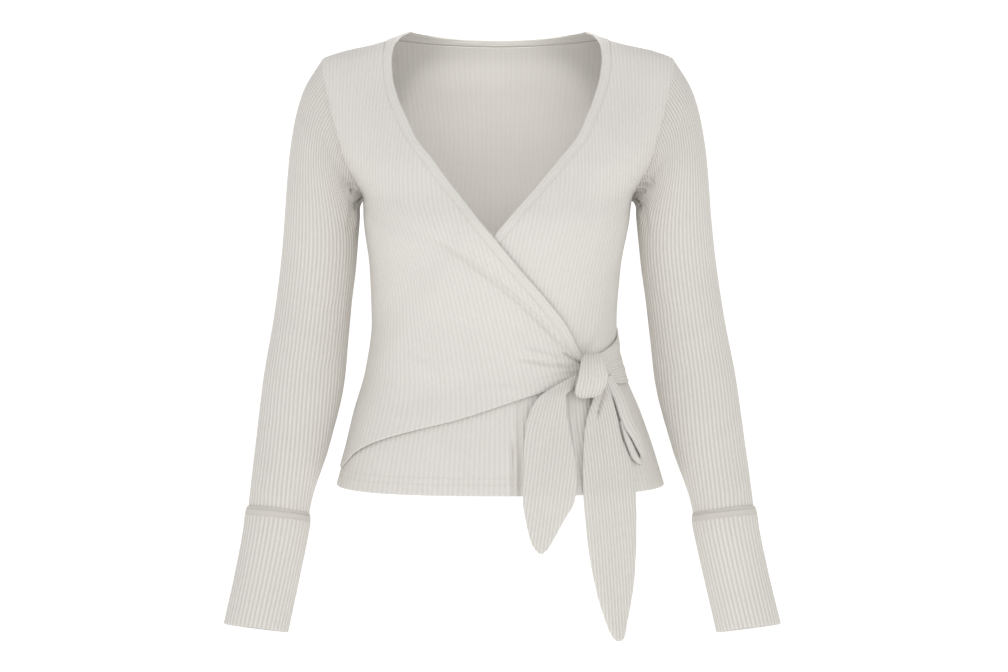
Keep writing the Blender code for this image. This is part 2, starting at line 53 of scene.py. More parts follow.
MM = 0.001
camera = bpy.data.objects.new("camera", bpy.data.cameras.new("camera"))
camera.location = (6.4 * MM, -2.995, -0.149)
camera.rotation_euler = (math.radians(90 - 3.3), 0, 0)
camera.data.lens = 101.1
camera.data.sensor_width = 36
bpy.context.collection.objects.link(camera)
bpy.context.scene.camera = camera
bpy.context.scene.view_settings.view_transform = "Standard"


def linear(hex_colour):
    """An sRGB hex colour as linear RGBA."""
    parts = [int(hex_colour[i:i + 2], 16) / 255 for i in (0, 2, 4)]
    return [p / 12.92 if p <= 0.04045 else ((p + 0.055) / 1.055) ** 2.4 for p in parts] + [1]


def node(tree, kind, inputs=(), **settings):
    """Add a node: settings are its properties, and inputs pairs of a socket's name or
    number and a value or the socket that feeds it."""
    made = tree.nodes.new(kind)
    for name, value in settings.items():
        setattr(made, name, value)
    for name, value in inputs:
        if isinstance(value, bpy.types.NodeSocket):
            tree.links.new(value, made.inputs[name])
        else:
            made.inputs[name].default_value = value
    return made


def new_material(name):
    """A material with its node tree and Principled shader."""
    material = bpy.data.materials.new(name)
    material.use_nodes = True
    return material, material.node_tree, material.node_tree.nodes["Principled BSDF"]


def add_light(name, place, size, power, aim=(0, 0, -0.32), spread=180):
    """A square soft light that points at 'aim' and lights a cone of 'spread' degrees."""
    light = bpy.data.lights.new(name, "AREA")
    light.size = size
    light.energy = power
    light.spread = math.radians(spread)
    lamp = bpy.data.objects.new(name, light)
    lamp.location = place
    away = np.array(place) - np.array(aim)
    lamp.rotation_euler = (math.acos(away[2] / np.linalg.norm(away)), 0,
                           math.atan2(away[0], -away[1]))
    bpy.context.collection.objects.link(lamp)


add_light("key_left", (-1.5, -2.2, 1.1), 1.4, 7)
add_light("fill_right", (1.7, -2.0, 0.2), 1.6, 4)
add_light("front", (0.2, -3.3, 0.0), 1.4, 8)
add_light("into_neck", (0.0, -0.2, 0.3), 0.1, 0.155, aim=(0, 0.10, -0.005), spread=46)
world = bpy.data.worlds.new("studio")
world.use_nodes = True
world.node_tree.nodes["Background"].inputs["Color"].default_value = (1, 1, 1, 1)
world.node_tree.nodes["Background"].inputs["Strength"].default_value = 0.68
bpy.context.scene.world = world

bend = np.linspace(0, math.pi / 2, 12)
profile = np.concatenate((
    [(-4.5, -1.0)],
    np.stack((3.6 + 1.2 * np.sin(bend), -1.0 + 1.2 * (1 - np.cos(bend))), axis=1),
    [(4.8, 6.0)]))
across = np.array((-6.0, 6.0))
points = np.stack(np.broadcast_arrays(across[None, :], profile[:, :1], profile[:, 1:]), axis=-1)
paper = bpy.data.meshes.new("studio_paper")
n = len(profile)
paper.from_pydata(points.reshape(-1, 3).tolist(), [],
                  [(2 * i, 2 * i + 1, 2 * i + 3, 2 * i + 2) for i in range(n - 1)])
paper.shade_smooth()
white, tree, shader = new_material("studio_paper_white")
shader.inputs["Base Color"].default_value = linear("f6f6f5")
shader.inputs["Roughness"].default_value = 0.95
shader.inputs["Emission Color"].default_value = (1, 1, 1, 1)
shader.inputs["Emission Strength"].default_value = 0.35
paper.materials.append(white)
backdrop = bpy.data.objects.new("studio_backdrop", paper)
bpy.context.collection.objects.link(backdrop)

# ---------------------------------------------------------------------------------------
# Rib knit: cotton and viscose with a little elastane, oatmeal, matt. The UV map counts
# ribs one way and metres the other, so furrows and stitch rows keep their real size.

COURSE = 1.25 * MM         # height of one row of stitches


def rib_knit(name, ridge, furrow, depth=0.5):
    """Ribbed knit: lighter ridges and darker furrows, which are painted light and painted shade over one yarn
    colour, rows of stitches and a little fuzz.
    """
    material, tree, shader = new_material(name)
    uv = node(tree, "ShaderNodeUVMap", uv_map="knit")
    split = node(tree, "ShaderNodeSeparateXYZ", [(0, uv.outputs[0])])
    turn = node(tree, "ShaderNodeMath", [(0, split.outputs[0]), (1, 2 * math.pi)], operation="MULTIPLY")
    wave = node(tree, "ShaderNodeMath", [(0, turn.outputs[0])], operation="COSINE")
    ridge_share = node(tree, "ShaderNodeMapRange", [(0, wave.outputs[0]), (1, -1.0), (2, 0.75)],
                       interpolation_type="SMOOTHSTEP")
    wale = node(tree, "ShaderNodeMath", [(0, turn.outputs[0]), (1, 4.0)], operation="MULTIPLY")
    lean = node(tree, "ShaderNodeMath", [(0, wale.outputs[0])], operation="SINE")
    row = node(tree, "ShaderNodeMath", [(0, split.outputs[1]), (1, 2 * math.pi / COURSE)],
               operation="MULTIPLY")
    stitch = node(tree, "ShaderNodeMath", [(0, lean.outputs[0]), (1, 1.3), (2, row.outputs[0])],
                  operation="MULTIPLY_ADD")
    loop = node(tree, "ShaderNodeMath", [(0, stitch.outputs[0])], operation="SINE")
    place = node(tree, "ShaderNodeTexCoord")
    fuzz = node(tree, "ShaderNodeTexNoise",
                [("Vector", place.outputs["Object"]), ("Scale", 1 / (2.2 * MM)), ("Detail", 4.0)])
    patch = node(tree, "ShaderNodeTexNoise",
                 [("Vector", place.outputs["Object"]), ("Scale", 1 / (70 * MM)), ("Detail", 2.0)])
    # Painted shade: the colour runs from the ridge's lit colour down to the furrow's darker, shaded one.
    colour = node(tree, "ShaderNodeMix", [("Factor", ridge_share.outputs[0])], data_type="RGBA")
    colour.inputs[6].default_value = linear(furrow)
    colour.inputs[7].default_value = linear(ridge)
    grain = node(tree, "ShaderNodeMapRange", [(0, fuzz.outputs[0]), (3, 0.95), (4, 1.05)])
    drift = node(tree, "ShaderNodeMapRange",
                 [(0, patch.outputs[0]), (1, 0.3), (2, 0.7), (3, 0.985), (4, 1.015)])
    both = node(tree, "ShaderNodeMath", [(0, grain.outputs[0]), (1, drift.outputs[0])], operation="MULTIPLY")
    shade = node(tree, "ShaderNodeVectorMath", [(0, colour.outputs[2])], operation="SCALE")
    tree.links.new(both.outputs[0], shade.inputs["Scale"])
    tree.links.new(shade.outputs[0], shader.inputs["Base Color"])
    relief = node(tree, "ShaderNodeMath", [(0, loop.outputs[0]), (1, 0.16), (2, ridge_share.outputs[0])],
                  operation="MULTIPLY_ADD")
    rough = node(tree, "ShaderNodeMath", [(0, fuzz.outputs[0]), (1, 0.35), (2, relief.outputs[0])],
                 operation="MULTIPLY_ADD")
    bump = node(tree, "ShaderNodeBump",
                [("Strength", 0.8), ("Distance", depth * MM), ("Height", rough.outputs[0])])
    tree.links.new(bump.outputs[0], shader.inputs["Normal"])
    shader.inputs["Roughness"].default_value = 0.92
    shader.inputs["IOR"].default_value = 1.46
    shader.inputs["Specular IOR Level"].default_value = 0.25
    shader.inputs["Sheen Weight"].default_value = 0.12
    shader.inputs["Sheen Roughness"].default_value = 0.6
    shader.inputs["Sheen Tint"].default_value = linear("f4f1ec")
    return material


# Copies of one knit whose furrows are painted darker by different amounts, as painted shade: faint on the
# binding and the inside, stronger on the tails and the knot, strongest on the sleeves and cuffs.
knit = rib_knit("cotton_viscose_rib_knit", "e2dfda", "dcd8d3", 0.3)
relaxed_knit_deeper_shade = rib_knit("cotton_viscose_rib_knit_relaxed_deeper_shade", "e3e0db", "d6d2cc", 0.4)
sleeve_knit = rib_knit("cotton_viscose_rib_knit_sleeve", "e4e1dc", "d2cdc7", 0.4)
binding = rib_knit("cotton_viscose_rib_binding", "e1ded9", "ddd9d4", 0.25)
inside_knit = rib_knit("cotton_viscose_rib_knit_inside", "dedbd6", "dcd8d3", 0.1)
thread, tree, shader = new_material("polyester_thread")
shader.inputs["Base Color"].default_value = linear("d9d5cf")
shader.inputs["Roughness"].default_value = 0.6
shader.inputs["IOR"].default_value = 1.57

# ---------------------------------------------------------------------------------------
# Form of the top: sections of the body, the necklines and the flow of the ribs, as the
# CAD model has them, and the two functions that turn a grid of points into cloth.

CLOTH = 1.3 * MM           # thickness of the knit between its ribs
RIB = 0.33 * MM            # height of a rib where the cloth is stretched over the body
FULLNESS = 0.2             # how much fuller than an ellipse a body section is
SHOULDER_POINT = -31 * MM
YOKE = -100 * MM           # above this the ribs run straight up to the shoulder
ARMPIT = -176 * MM
HEM = -479 * MM
PER_RIB = 4                # columns for each rib
EDGE_ROWS = (0, 0.6, 1.5, 3.0)
EDGE_FULL = (0.45, 0.8, 0.97, 1.0)
STITCH_PITCH = 3.0 * MM
STITCH_HALF_LENGTH = 1.3 * MM
STITCH_HALF_WIDTH = 0.35 * MM
STITCH_HEIGHT = 0.25 * MM
HEM_STITCHES = (11 * MM, 17.5 * MM)    # heights of the two rows above the hem
BODY = (
    (0, 87, 87, 30, 44), (-4, 98, 98, 33, 47), (-9, 111, 111, 36, 50), (-16, 134, 137, 40, 54),
    (-22, 161, 164, 43, 58), (-31, 185, 185, 48, 63), (-50, 192, 192, 59, 71),
    (-80, 189, 189, 76, 82), (-110, 181, 181, 91, 89), (-140, 166, 166, 104, 93),
    (-160, 150, 150, 111, 94), (-176, 141, 140, 116, 93), (-200, 140, 137, 121, 90),
    (-250, 134, 128, 114, 79), (-310, 132, 124, 96, 73), (-352, 136, 130, 94, 80),
    (-403, 150, 150, 103, 96), (-440, 159, 163, 112, 106), (-479, 170, 175, 119, 113),
)
ARMHOLE = ((-31, 185), (-44, 183), (-80, 175), (-110, 166.5), (-139, 158), (-158, 148.5),
           (-167, 144), (-176, 140.5))
NECKLINE = (
    (-2.5, 97, 110, 97, 109), (-9, 103, 117.6, 103, 116.4), (-16, 107.6, 118.6, 106.6, 117.2),
    (-30, 110, 119.9, 108, 118), (-47, 109, 119, 106, 117), (-71, 103, 114, 99, 110),
    (-93, 93, 105, 90, 102), (-112, 84, 96, 81, 93), (-134, 67, 80, 63, 76),
    (-158, 49, 62, 43, 56), (-182, 30, 43, 22, 35), (-214, 4, 17, -5, 8),
    (-249, -24, -11, -31, -18), (-279, -49, -36, -54, -41), (-308, -70, -57, -75, -62),
    (-335, -83, -73, -91, -78), (-352, -95, -86, -110, -96), (-368, -95, -86, -134, -119),
    (-400, -95, -86, -190, -176),
)


def curve(rows, column):
    """One column of a table as a monotone cubic function of its first column."""
    ordered = sorted(map(tuple, rows))
    at = np.array([row[0] for row in ordered]) * MM
    value = np.array([row[column] for row in ordered]) * MM
    step = np.diff(at)
    slope = np.diff(value) / step
    rising = slope[:-1] * slope[1:] > 0
    safe = np.where(rising, slope[:-1] + slope[1:], 1)
    inner = np.where(rising, 2 * slope[:-1] * slope[1:] / safe, 0)
    tangent = np.concatenate(([slope[0]], inner, [slope[-1]]))

    def read(x):
        x = np.clip(x, at[0], at[-1])
        i = np.clip(np.searchsorted(at, x) - 1, 0, len(step) - 1)
        s = (x - at[i]) / step[i]
        start = value[i] * (1 + 2 * s) * (1 - s) ** 2 + tangent[i] * step[i] * s * (1 - s) ** 2
        return start + value[i + 1] * s * s * (3 - 2 * s) + tangent[i + 1] * step[i] * s * s * (s - 1)

    return read


RIGHT_WIDTH, LEFT_WIDTH, FRONT_DEPTH, BACK_DEPTH = [curve(BODY, i) for i in (1, 2, 3, 4)]
ARMHOLE_EDGE = curve(ARMHOLE, 1)


def ease(low, high, x):
    """Rise smoothly from 0 at low to 1 at high."""
    s = np.clip((x - low) / (high - low), 0, 1)
    return s * s * (3 - 2 * s)


def unit(vectors):
    """Vectors at length 1."""
    return vectors / np.linalg.norm(vectors, axis=-1, keepdims=True)


def half_width(side, across, z):
    """Half width of the body at height z, on the side that 'across' lies on."""
    own, other = (LEFT_WIDTH, RIGHT_WIDTH) if side > 0 else (RIGHT_WIDTH, LEFT_WIDTH)
    return np.where(across >= 0, own(z), other(z))


def on_body(side, across, z, lift=0.0, depth=FRONT_DEPTH, facing=-1):
    """Point on the body's section at height z and the direction straight out of it.
    'across' is the distance from the centre towards the piece's own side."""
    width = half_width(side, across, z)
    cosine = np.clip(across / width, -1, 1)
    sine = np.sqrt(1 - cosine ** 2)
    full = 1 + FULLNESS * cosine ** 2
    wide, deep = width + lift, depth(z) + lift
    flat = np.zeros_like(sine * wide)
    point = np.stack((side * wide * cosine, facing * deep * sine * full, z + flat), axis=-1)
    turn = cosine * full - 2 * FULLNESS * sine ** 2 * cosine
    along = np.stack((-side * wide * sine, facing * deep * turn, flat), axis=-1)
    h = 0.5 * MM
    wider = (half_width(side, across, z + h) - half_width(side, across, z - h)) / (2 * h)
    deeper = (depth(z + h) - depth(z - h)) / (2 * h)
    down = np.stack((side * wider * cosine, facing * deeper * sine * full, flat + 1), axis=-1)
    normal = unit(np.cross(along, down))
    out = np.stack((side * cosine, facing * sine, flat), axis=-1)
    return point, normal * np.sign(np.sum(normal * out, axis=-1, keepdims=True))


def ribs(phase):
    """Height share of the ribs: 1 on each ridge, 0 in each furrow."""
    return 0.5 + 0.5 * np.cos(2 * np.pi * phase)


def crease_height(x, z, table):
    """Sum of creases at x, z. Each is a bent line of three points, with its width, its
    height, negative for a trough, and how far the far side stands or sinks against it."""
    total = np.zeros(np.broadcast(x, z).shape)
    t = np.linspace(0, 1, 17)
    for x0, z0, x1, z1, x2, z2, width, height, back in table:
        weights = np.stack(((1 - t) ** 2, 2 * t * (1 - t), t ** 2))
        line = (weights.T @ np.array(((x0, z0), (x1, z1), (x2, z2)))) * MM
        near = np.full(total.shape, np.inf)
        side = np.zeros(total.shape)
        place = np.zeros(total.shape)
        for i, ((ax, az), (bx, bz)) in enumerate(zip(line[:-1], line[1:])):
            length = math.hypot(bx - ax, bz - az)
            hx, hz = (bx - ax) / length, (bz - az) / length
            along = (x - ax) * hx + (z - az) * hz
            off = (x - ax) * hz - (z - az) * hx
            gap = off ** 2 + (along - np.clip(along, 0, length)) ** 2
            closer = gap < near
            near = np.where(closer, gap, near)
            side = np.where(closer, off, side)
            place = np.where(closer, (i + np.clip(along / length, 0, 1)) / (len(t) - 1), place)
        fade = ease(0, 0.3, place) * ease(1.02, 0.75, place)
        w = width * MM
        main = np.exp(-near / w ** 2)
        beside = np.exp(-(near - side ** 2 + (side - 1.5 * w) ** 2) / w ** 2)
        total += height * MM * fade * (main - back * beside)
    return total


def add_mesh(name, points, faces, uv, material):
    """Add a closed mesh. faces are arrays of corners, and uv gives the UV of each
    corner in the same arrays. It turns inside out if its volume is negative."""
    volume = 0.0
    for corners in faces:
        a = points[corners[:, 0]]
        for k in range(1, corners.shape[1] - 1):
            volume += np.sum(a * np.cross(points[corners[:, k]], points[corners[:, k + 1]]))
    if volume < 0:
        faces = [corners[:, ::-1] for corners in faces]
        uv = [part[:, ::-1] for part in uv]
    loops = np.concatenate([corners.reshape(-1) for corners in faces])
    sizes = np.concatenate([np.full(len(corners), corners.shape[1]) for corners in faces])
    mesh = bpy.data.meshes.new(name)
    mesh.vertices.add(len(points))
    mesh.vertices.foreach_set("co", points.astype(np.float32).ravel())
    mesh.loops.add(len(loops))
    mesh.loops.foreach_set("vertex_index", loops.astype(np.int32))
    mesh.polygons.add(len(sizes))
    mesh.polygons.foreach_set("loop_start", np.concatenate(([0], np.cumsum(sizes)[:-1])).astype(np.int32))
    layer = mesh.uv_layers.new(name="knit")
    mesh.update(calc_edges=True)
    coordinates = np.concatenate([part.reshape(-1, 2) for part in uv])
    layer.data.foreach_set("uv", coordinates.astype(np.float32).ravel())
    mesh.shade_smooth()
    mesh.materials.append(material)
    piece = bpy.data.objects.new(name, mesh)
    bpy.context.collection.objects.link(piece)
    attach(piece, "root")
    return piece


def rim(fine, sparse, kept):
    """Triangles between a fine line of corners and a sparse one. kept gives the place
    on the fine line that each sparse corner faces."""
    middle = (kept[1:] + kept[:-1] + 1) // 2
    i = np.arange(len(fine) - 1)
    near = np.searchsorted(middle, i, side="right")
    first = np.stack((fine[i + 1], fine[i], sparse[near]), axis=1)
    second = np.stack((sparse[:-1], sparse[1:], fine[middle]), axis=1)
    return np.concatenate((first, second))


def squares(grid):
    """Four corners for each square of a grid of corners."""
    return np.stack((grid[:-1, :-1], grid[:-1, 1:], grid[1:, 1:], grid[1:, :-1]), axis=-1).reshape(-1, 4)


def add_cloth(name, outer, inner, phase, along, material):
    """Add cloth from its outer and inner grids. The inner one keeps one column for each
    rib and every second row. phase counts ribs and along is the length down a column."""
    rows, columns = outer.shape[:2]
    kept_rows = np.unique(np.append(np.arange(0, rows, 2), rows - 1))
    kept_columns = np.unique(np.append(np.arange(0, columns, PER_RIB), columns - 1))
    top = np.arange(rows * columns).reshape(rows, columns)
    size = (len(kept_rows), len(kept_columns))
    low = rows * columns + np.arange(size[0] * size[1]).reshape(size)
    thin = np.ix_(kept_rows, kept_columns)
    points = np.concatenate((outer.reshape(-1, 3), inner[thin].reshape(-1, 3)))
    where = np.stack(np.broadcast_arrays(phase, along), axis=-1)
    where = np.concatenate((where.reshape(-1, 2), where[thin].reshape(-1, 2)))
    faces = [squares(top), squares(low)[:, ::-1],
             rim(top[0], low[0], kept_columns), rim(top[-1], low[-1], kept_columns)[:, ::-1],
             rim(top[:, 0], low[:, 0], kept_rows)[:, ::-1], rim(top[:, -1], low[:, -1], kept_rows)]
    piece = add_mesh(name, points, faces, [where[f] for f in faces], material)
    piece.data.materials.append(inside_knit)
    inside = np.concatenate([np.full(len(corners), i == 1) for i, corners in enumerate(faces)])
    piece.data.polygons.foreach_set("material_index", inside.astype(np.int32))
    return piece


def add_stitches(name, runs):
    """Add rows of stitches along paths on the cloth, given with the directions out of it.
    Each stitch is a flat diamond of thread, half sunk into the knit."""
    points = []
    for path, out in runs:
        reach = np.concatenate(([0], np.cumsum(np.linalg.norm(np.diff(path, axis=0), axis=1))))
        at = np.arange(STITCH_PITCH / 2, reach[-1], STITCH_PITCH)
        spot, up = [np.stack([np.interp(at, reach, a[:, i]) for i in range(3)], axis=1) for a in (path, out)]
        ahead = unit(np.gradient(spot, axis=0)) * STITCH_HALF_LENGTH
        beside = unit(np.cross(up, ahead)) * STITCH_HALF_WIDTH
        up = unit(up) * STITCH_HEIGHT
        tips = np.stack((ahead, -ahead, beside, -beside, up, -up), axis=1)
        points.append((spot[:, None] + tips).reshape(-1, 3))
    points = np.concatenate(points)
    diamond = np.array(((0, 2, 4), (2, 1, 4), (1, 3, 4), (3, 0, 4),
                        (2, 0, 5), (1, 2, 5), (3, 1, 5), (0, 3, 5)))
    faces = (diamond + 6 * np.arange(len(points) // 6)[:, None, None]).reshape(-1, 3)
    add_mesh(name, points, [faces], [np.zeros((len(faces), 3, 2))], thread)


def edge_share(count, length, start=True, end=True):
    """Fullness of the cloth along count columns or rows that are length apart in all:
    it thins out towards a seam or a folded edge."""
    place = np.linspace(0, length, count)
    share = np.ones(count)
    if start:
        share = np.minimum(share, np.interp(place, np.array(EDGE_ROWS) * MM, EDGE_FULL))
    if end:
        share = np.minimum(share, np.interp(length - place, np.array(EDGE_ROWS) * MM, EDGE_FULL))
    return share


def rows_down(top, bottom, spacing, fine=None):
    """Heights of a piece's rows: level, 'spacing' apart, and squeezed together where a
    column's top or bottom edge cuts them off. Also the fullness of the cloth there.
    The rows are three times as close between the two heights of 'fine'."""
    length = top.max() - bottom.min()
    first = np.array(EDGE_ROWS) * MM
    inside = np.linspace(first[-1], length - first[-1], round(length / spacing))
    if fine:
        at = top.max() - inside
        share = np.cumsum(np.where((at < fine[0]) & (at > fine[1]), 3, 1))
        inside = np.interp(np.arange(1, share[-1] + 1), share, inside)
    levels = top.max() - np.concatenate((first[:-1], inside, length - first[-2::-1]))[:, None]
    place = np.arange(len(levels))[:, None]
    squeeze = np.minimum(0.3 * MM, (top - bottom) / len(levels))
    z = np.maximum(np.minimum(levels, top - squeeze * place), bottom + squeeze * place[::-1])
    return z, np.interp(np.minimum(top - z, z - bottom), first, EDGE_FULL)


def lowest_entry(distance, inside, low):
    """Height at which each column last enters the piece on its way down."""
    heights = np.linspace(0, low, 700)
    grid = np.broadcast_to(heights[:, None], (len(heights), len(distance(0.0))))
    outside = ~inside(distance(grid), grid)
    last = len(heights) - 1 - np.argmax(outside[::-1], axis=0)
    above, below = heights[last], heights[last + 1]
    for _ in range(24):
        middle = (above + below) / 2
        within = inside(distance(middle), middle)
        above, below = np.where(within, above, middle), np.where(within, middle, below)
    return below


def panel_edge(width, z):
    """Where a panel's last column runs: the armhole above the armpit, the side seam
    below it, and past the body above the shoulder."""
    edge = np.where(z > ARMPIT, np.minimum(ARMHOLE_EDGE(z), width), width)
    return np.where(z > SHOULDER_POINT, ARMHOLE_EDGE(z), edge)


def rib_distance(keys, curves, ends, side, rib, z):
    """Distance from the centre of a rib at height z: linear between the key ribs, and
    spread evenly from the outer ones to the armhole and the side seams."""
    known = np.stack([read(z) for read in curves])[::-1]
    keys = np.array(keys, dtype=float)[::-1]
    i = np.clip(np.searchsorted(keys, rib) - 1, 0, len(keys) - 2)
    share = np.clip((rib - keys[i]) / (keys[i + 1] - keys[i]), 0, 1)
    low = np.take_along_axis(known, i[None], 0)[0]
    high = np.take_along_axis(known, i[None] + 1, 0)[0]
    inner = low + (high - low) * share
    beyond = np.where(rib > keys[-1], (rib - keys[-1]) / (ends[1] - keys[-1]),
                      np.maximum(keys[0] - rib, 0) / max(keys[0] - ends[0], 1))
    width = half_width(side, inner, z)
    edge = panel_edge(width, z)
    flat = np.abs(inner) + (edge - np.abs(inner)) * beyond
    angle = np.arccos(np.clip(np.abs(inner) / width, 0, 1))
    last = np.arccos(np.clip(edge / width, 0, 1))
    round_body = width * np.cos(angle + (last - angle) * beyond)
    mix = ease(ARMPIT, YOKE, z)
    outer = np.where(z > SHOULDER_POINT, flat, flat * mix + round_body * (1 - mix))
    return np.where(beyond > 0, np.sign(inner) * outer, inner)


# ---------------------------------------------------------------------------------------
# Back: one piece of rib knit from the back neck and shoulders to the hem. Sewn to the
# fronts at the shoulders and side seams, and to the sleeves.

BACK_RIBS = 33
BACK_SPREAD = 0.035        # how much closer together the ribs run towards the middle
BACK_NECK_EDGE = (-6.8, -1.3)
BACK_NECK_SEAM = (-15.0, -8.8)
BACK_CREASES = (
    (-60, -300, -20, -312, 30, -306, 12, -1.2, 0.4), (-95, -275, -70, -290, -40, -294, 9, 1.0, 0.5),
    (95, -268, 60, -286, 25, -290, 10, -1.0, 0.5), (120, -330, 80, -322, 40, -330, 9, 0.9, 0.5),
    (-125, -205, -100, -215, -75, -235, 8, -1.2, 0.6), (128, -200, 100, -212, 78, -236, 8, -1.2, 0.6),
)


def back_neck(share, ends):
    """Back neck curve: a parabola between its two ends on the shoulders."""
    middle, end = np.array(ends) * MM
    return LEFT_WIDTH(end) * share, middle + (end - middle) * share ** 2


def back_distance(z):
    """Distance from the centre of the back's columns at height z."""
    part = np.broadcast_to(back_share, np.shape(z) if np.ndim(z) else back_share.shape)
    z = np.broadcast_to(z, part.shape)
    sign = np.sign(np.broadcast_to(back_phase, part.shape))
    width = half_width(1, sign, z)
    edge = panel_edge(width, z)
    last = np.arccos(np.clip(edge / width, 0, 1))
    rest = 1 - part
    angle = last + (np.pi / 2 - last) * (rest + BACK_SPREAD * np.sin(np.pi * rest))
    mix = ease(ARMPIT, YOKE, z)
    return sign * (edge * part * mix + width * np.cos(angle) * (1 - mix))


def in_back(across, z):
    """Whether a point lies on the back, below its neck seam and shoulders."""
    reach = LEFT_WIDTH(BACK_NECK_SEAM[1] * MM)
    _, seam = back_neck(np.clip(np.abs(across) / reach, 0, 1), BACK_NECK_SEAM)
    below = (z < seam) | (np.abs(across) > reach)
    return below & (np.abs(across) <= half_width(1, across, z) + 1e-7)


back_phase = np.arange(-BACK_RIBS * PER_RIB, BACK_RIBS * PER_RIB + 1) / PER_RIB
back_share = np.abs(back_phase) / back_phase[-1]
top_line = lowest_entry(back_distance, in_back, HEM)
z, full = rows_down(top_line, np.full_like(top_line, HEM), 5 * MM)
base, normal = on_body(1, back_distance(z), z, depth=BACK_DEPTH, facing=1)
full = full * (0.5 + 0.5 * edge_share(len(back_phase), 0.45))[None, :]
fold = crease_height(base[..., 0], z, BACK_CREASES)
raised = CLOTH * (0.3 + 0.7 * full) + RIB * full * ribs(back_phase) + fold
back = add_cloth("back_panel", base + normal * raised[..., None],
                 base + normal * fold[..., None], back_phase, -z, knit)
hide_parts("back")

# ---------------------------------------------------------------------------------------
# Fronts: the wearer's right one crosses over the left one and is gathered into the knot
# at the left waist, cut off on a slope. The left one reaches round to the right side seam.

# Key ribs, counted from the one below the middle of the shoulder, and how far from the
# centre they run at each height. The last two counts are the ribs at the side seams.
OVER_KEYS = (0, -6, -14, -22, -30, -37)
OVER_ENDS = (-37, 21)
OVER_RIBS = (
    (0, 108, 84, 51, 18, -14, -44), (-50, 113, 88, 54, 20, -14, -45), (-75, 116, 91, 56, 21, -14, -46),
    (-100, 118, 94, 58, 22, -14.5, -47), (-126, 120, 97.5, 60, 21.5, -16, -49),
    (-150, 120.5, 99, 61, 20.5, -17.7, -51), (-176, 119.5, 98, 59, 18, -21, -54.5),
    (-200, 113, 90.5, 53, 14, -24.5, -58), (-220, 105, 82.5, 47, 9.5, -28.3, -62),
    (-240, 97, 75.5, 41, 4.5, -32.5, -66), (-260, 91, 70, 35.5, -1, -37, -70),
    (-285, 87, 65, 30, -6.7, -42.7, -76), (-311, 84, 61, 25, -12.6, -48.8, -81.5),
    (-337, 82, 58, 20, -18.6, -55.4, -84), (-364, 80.5, 55, 15.7, -24.6, -63, -85),
    (-393, 82, 54.6, 13.6, -29.6, -69, -85.3), (-420, 87.6, 58, 14, -33, -72, -85.3),
    (-445, 94.7, 63, 15.6, -36.3, -72, -85.3), (-460, 99, 66, 17, -37, -72, -85.3),
)
UNDER_KEYS = (0, -6, -14, -24, -36, -52)
UNDER_ENDS = (-60, 17)
UNDER_RIBS = (
    (0, 126, 102, 70, 33, -14, -76), (-50, 129, 106, 74.5, 35, -14, -79),
    (-100, 130, 108.5, 78, 36.5, -15, -84),
    (-150, 130, 110, 80, 35.5, -19.5, -90), (-176, 129, 108.7, 78, 32, -23, -94),
    (-200, 125, 104.7, 74, 27.5, -27, -98), (-220, 120.8, 100, 69, 23, -31, -101),
    (-240, 116, 95, 64, 19, -35, -105), (-260, 111, 90.6, 59, 15, -38.6, -109),
    (-285, 107, 86.6, 54.6, 10, -43.4, -113), (-311, 104.5, 83, 50, 5, -48, -118),
    (-337, 102, 80, 46.6, 1, -53, -123), (-364, 100.4, 77.5, 43.8, -2.4, -57, -128),
    (-393, 102, 79, 44, -5, -61.4, -134), (-420, 106, 82, 46, -5.7, -64.7, -140),
    (-445, 111, 86, 48, -6, -67.2, -145.6), (-479, 117, 91, 50, -6.5, -69.8, -153),
)
# Spacing of the ribs outside the first key, which the armhole and the side seam cut off:
# height, millimetres apart, and degrees apart round the body.
OUTER_PITCH = ((-31, 3.9), (-75, 3.6), (-100, 3.4), (-126, 3.15), (-150, 2.95), (-176, 2.9))
OUTER_TURN = ((-150, 2.3), (-200, 2.3), (-240, 2.45), (-285, 2.35))
OVER_LOWER_EDGE = (
    (-88, -362), (-80, -363), (-65, -367), (-46, -374), (-26, -380), (-8, -386), (44, -403),
    (82, -413), (121, -426), (145, -440), (163, -460),
)
OVERLAP_START = ((-150, -160), (-30, -175), (10, -205), (75, -300), (134, -365))
OVER_LIFT = 4.2 * MM
# Creases of the over front: start, bend and end (x, z), width, height and far side.
OVER_CREASES = (
    (-78.5, -208, 0.5, -249, 87.5, -348, 3.0, -4.2, 0.0), (-62, -207, 10, -243, 90, -338, 4.6, -0.7, 0.0),
    (-86, -222, -8, -258, 78, -355, 4.0, 0.7, 0.0),
    (20, -329, 50, -334.5, 86, -347, 2.4, 2.0, 0.0), (14, -338.5, 50, -345.5, 86, -350.5, 1.7, -2.8, 0.0),
    (64, -333, 76, -338, 90, -349, 1.2, -2.8, 0.0), (36, -357, 66, -358, 86, -354, 2.4, -1.2, 0.5),
    (-106, -322, -90, -336, -66, -342, 5.0, -0.8, 0.6), (-20, -372, 30, -372, 80, -362, 5.0, 0.7, 0.5),
    (-120, -190, -100, -205, -70, -212, 7.0, -0.9, 0.6), (-125, -395, -90, -380, -30, -372, 9.0, -0.6, 0.6),
    (-118, -352, -80, -352, -20, -350, 10.0, 0.6, 0.5), (-60, -270, -10, -295, 50, -345, 8.0, 0.8, 0.5),
    (-138, -183, -124, -192, -112, -206, 4.5, -1.4, 0.6),
)
UNDER_CREASES = (
    (15.4, -410, 15.4, -450, 15.6, -510, 1.2, -4.0, 0.0),
    (22.0, -370, 22.0, -430, 22.3, -520, 1.5, -9.0, 0.0),
    (80, -375, 84, -420, 86, -470, 4.0, -1.5, 0.7), (60, -400, 62, -430, 60, -482, 4.0, 1.2, 0.5),
    (128, -408, 137, -428, 145, -446, 3.0, -2.4, 0.3), (150, -430, 144, -450, 140, -482, 6.0, 0.9, 0.5),
    (138, -183, 122, -192, 108, -208, 5.0, -1.3, 0.6), (118, -300, 100, -318, 92, -340, 5.0, -1.3, 0.7),
    (-60, -420, -40, -440, -30, -482, 9.0, 0.7, 0.5),
)


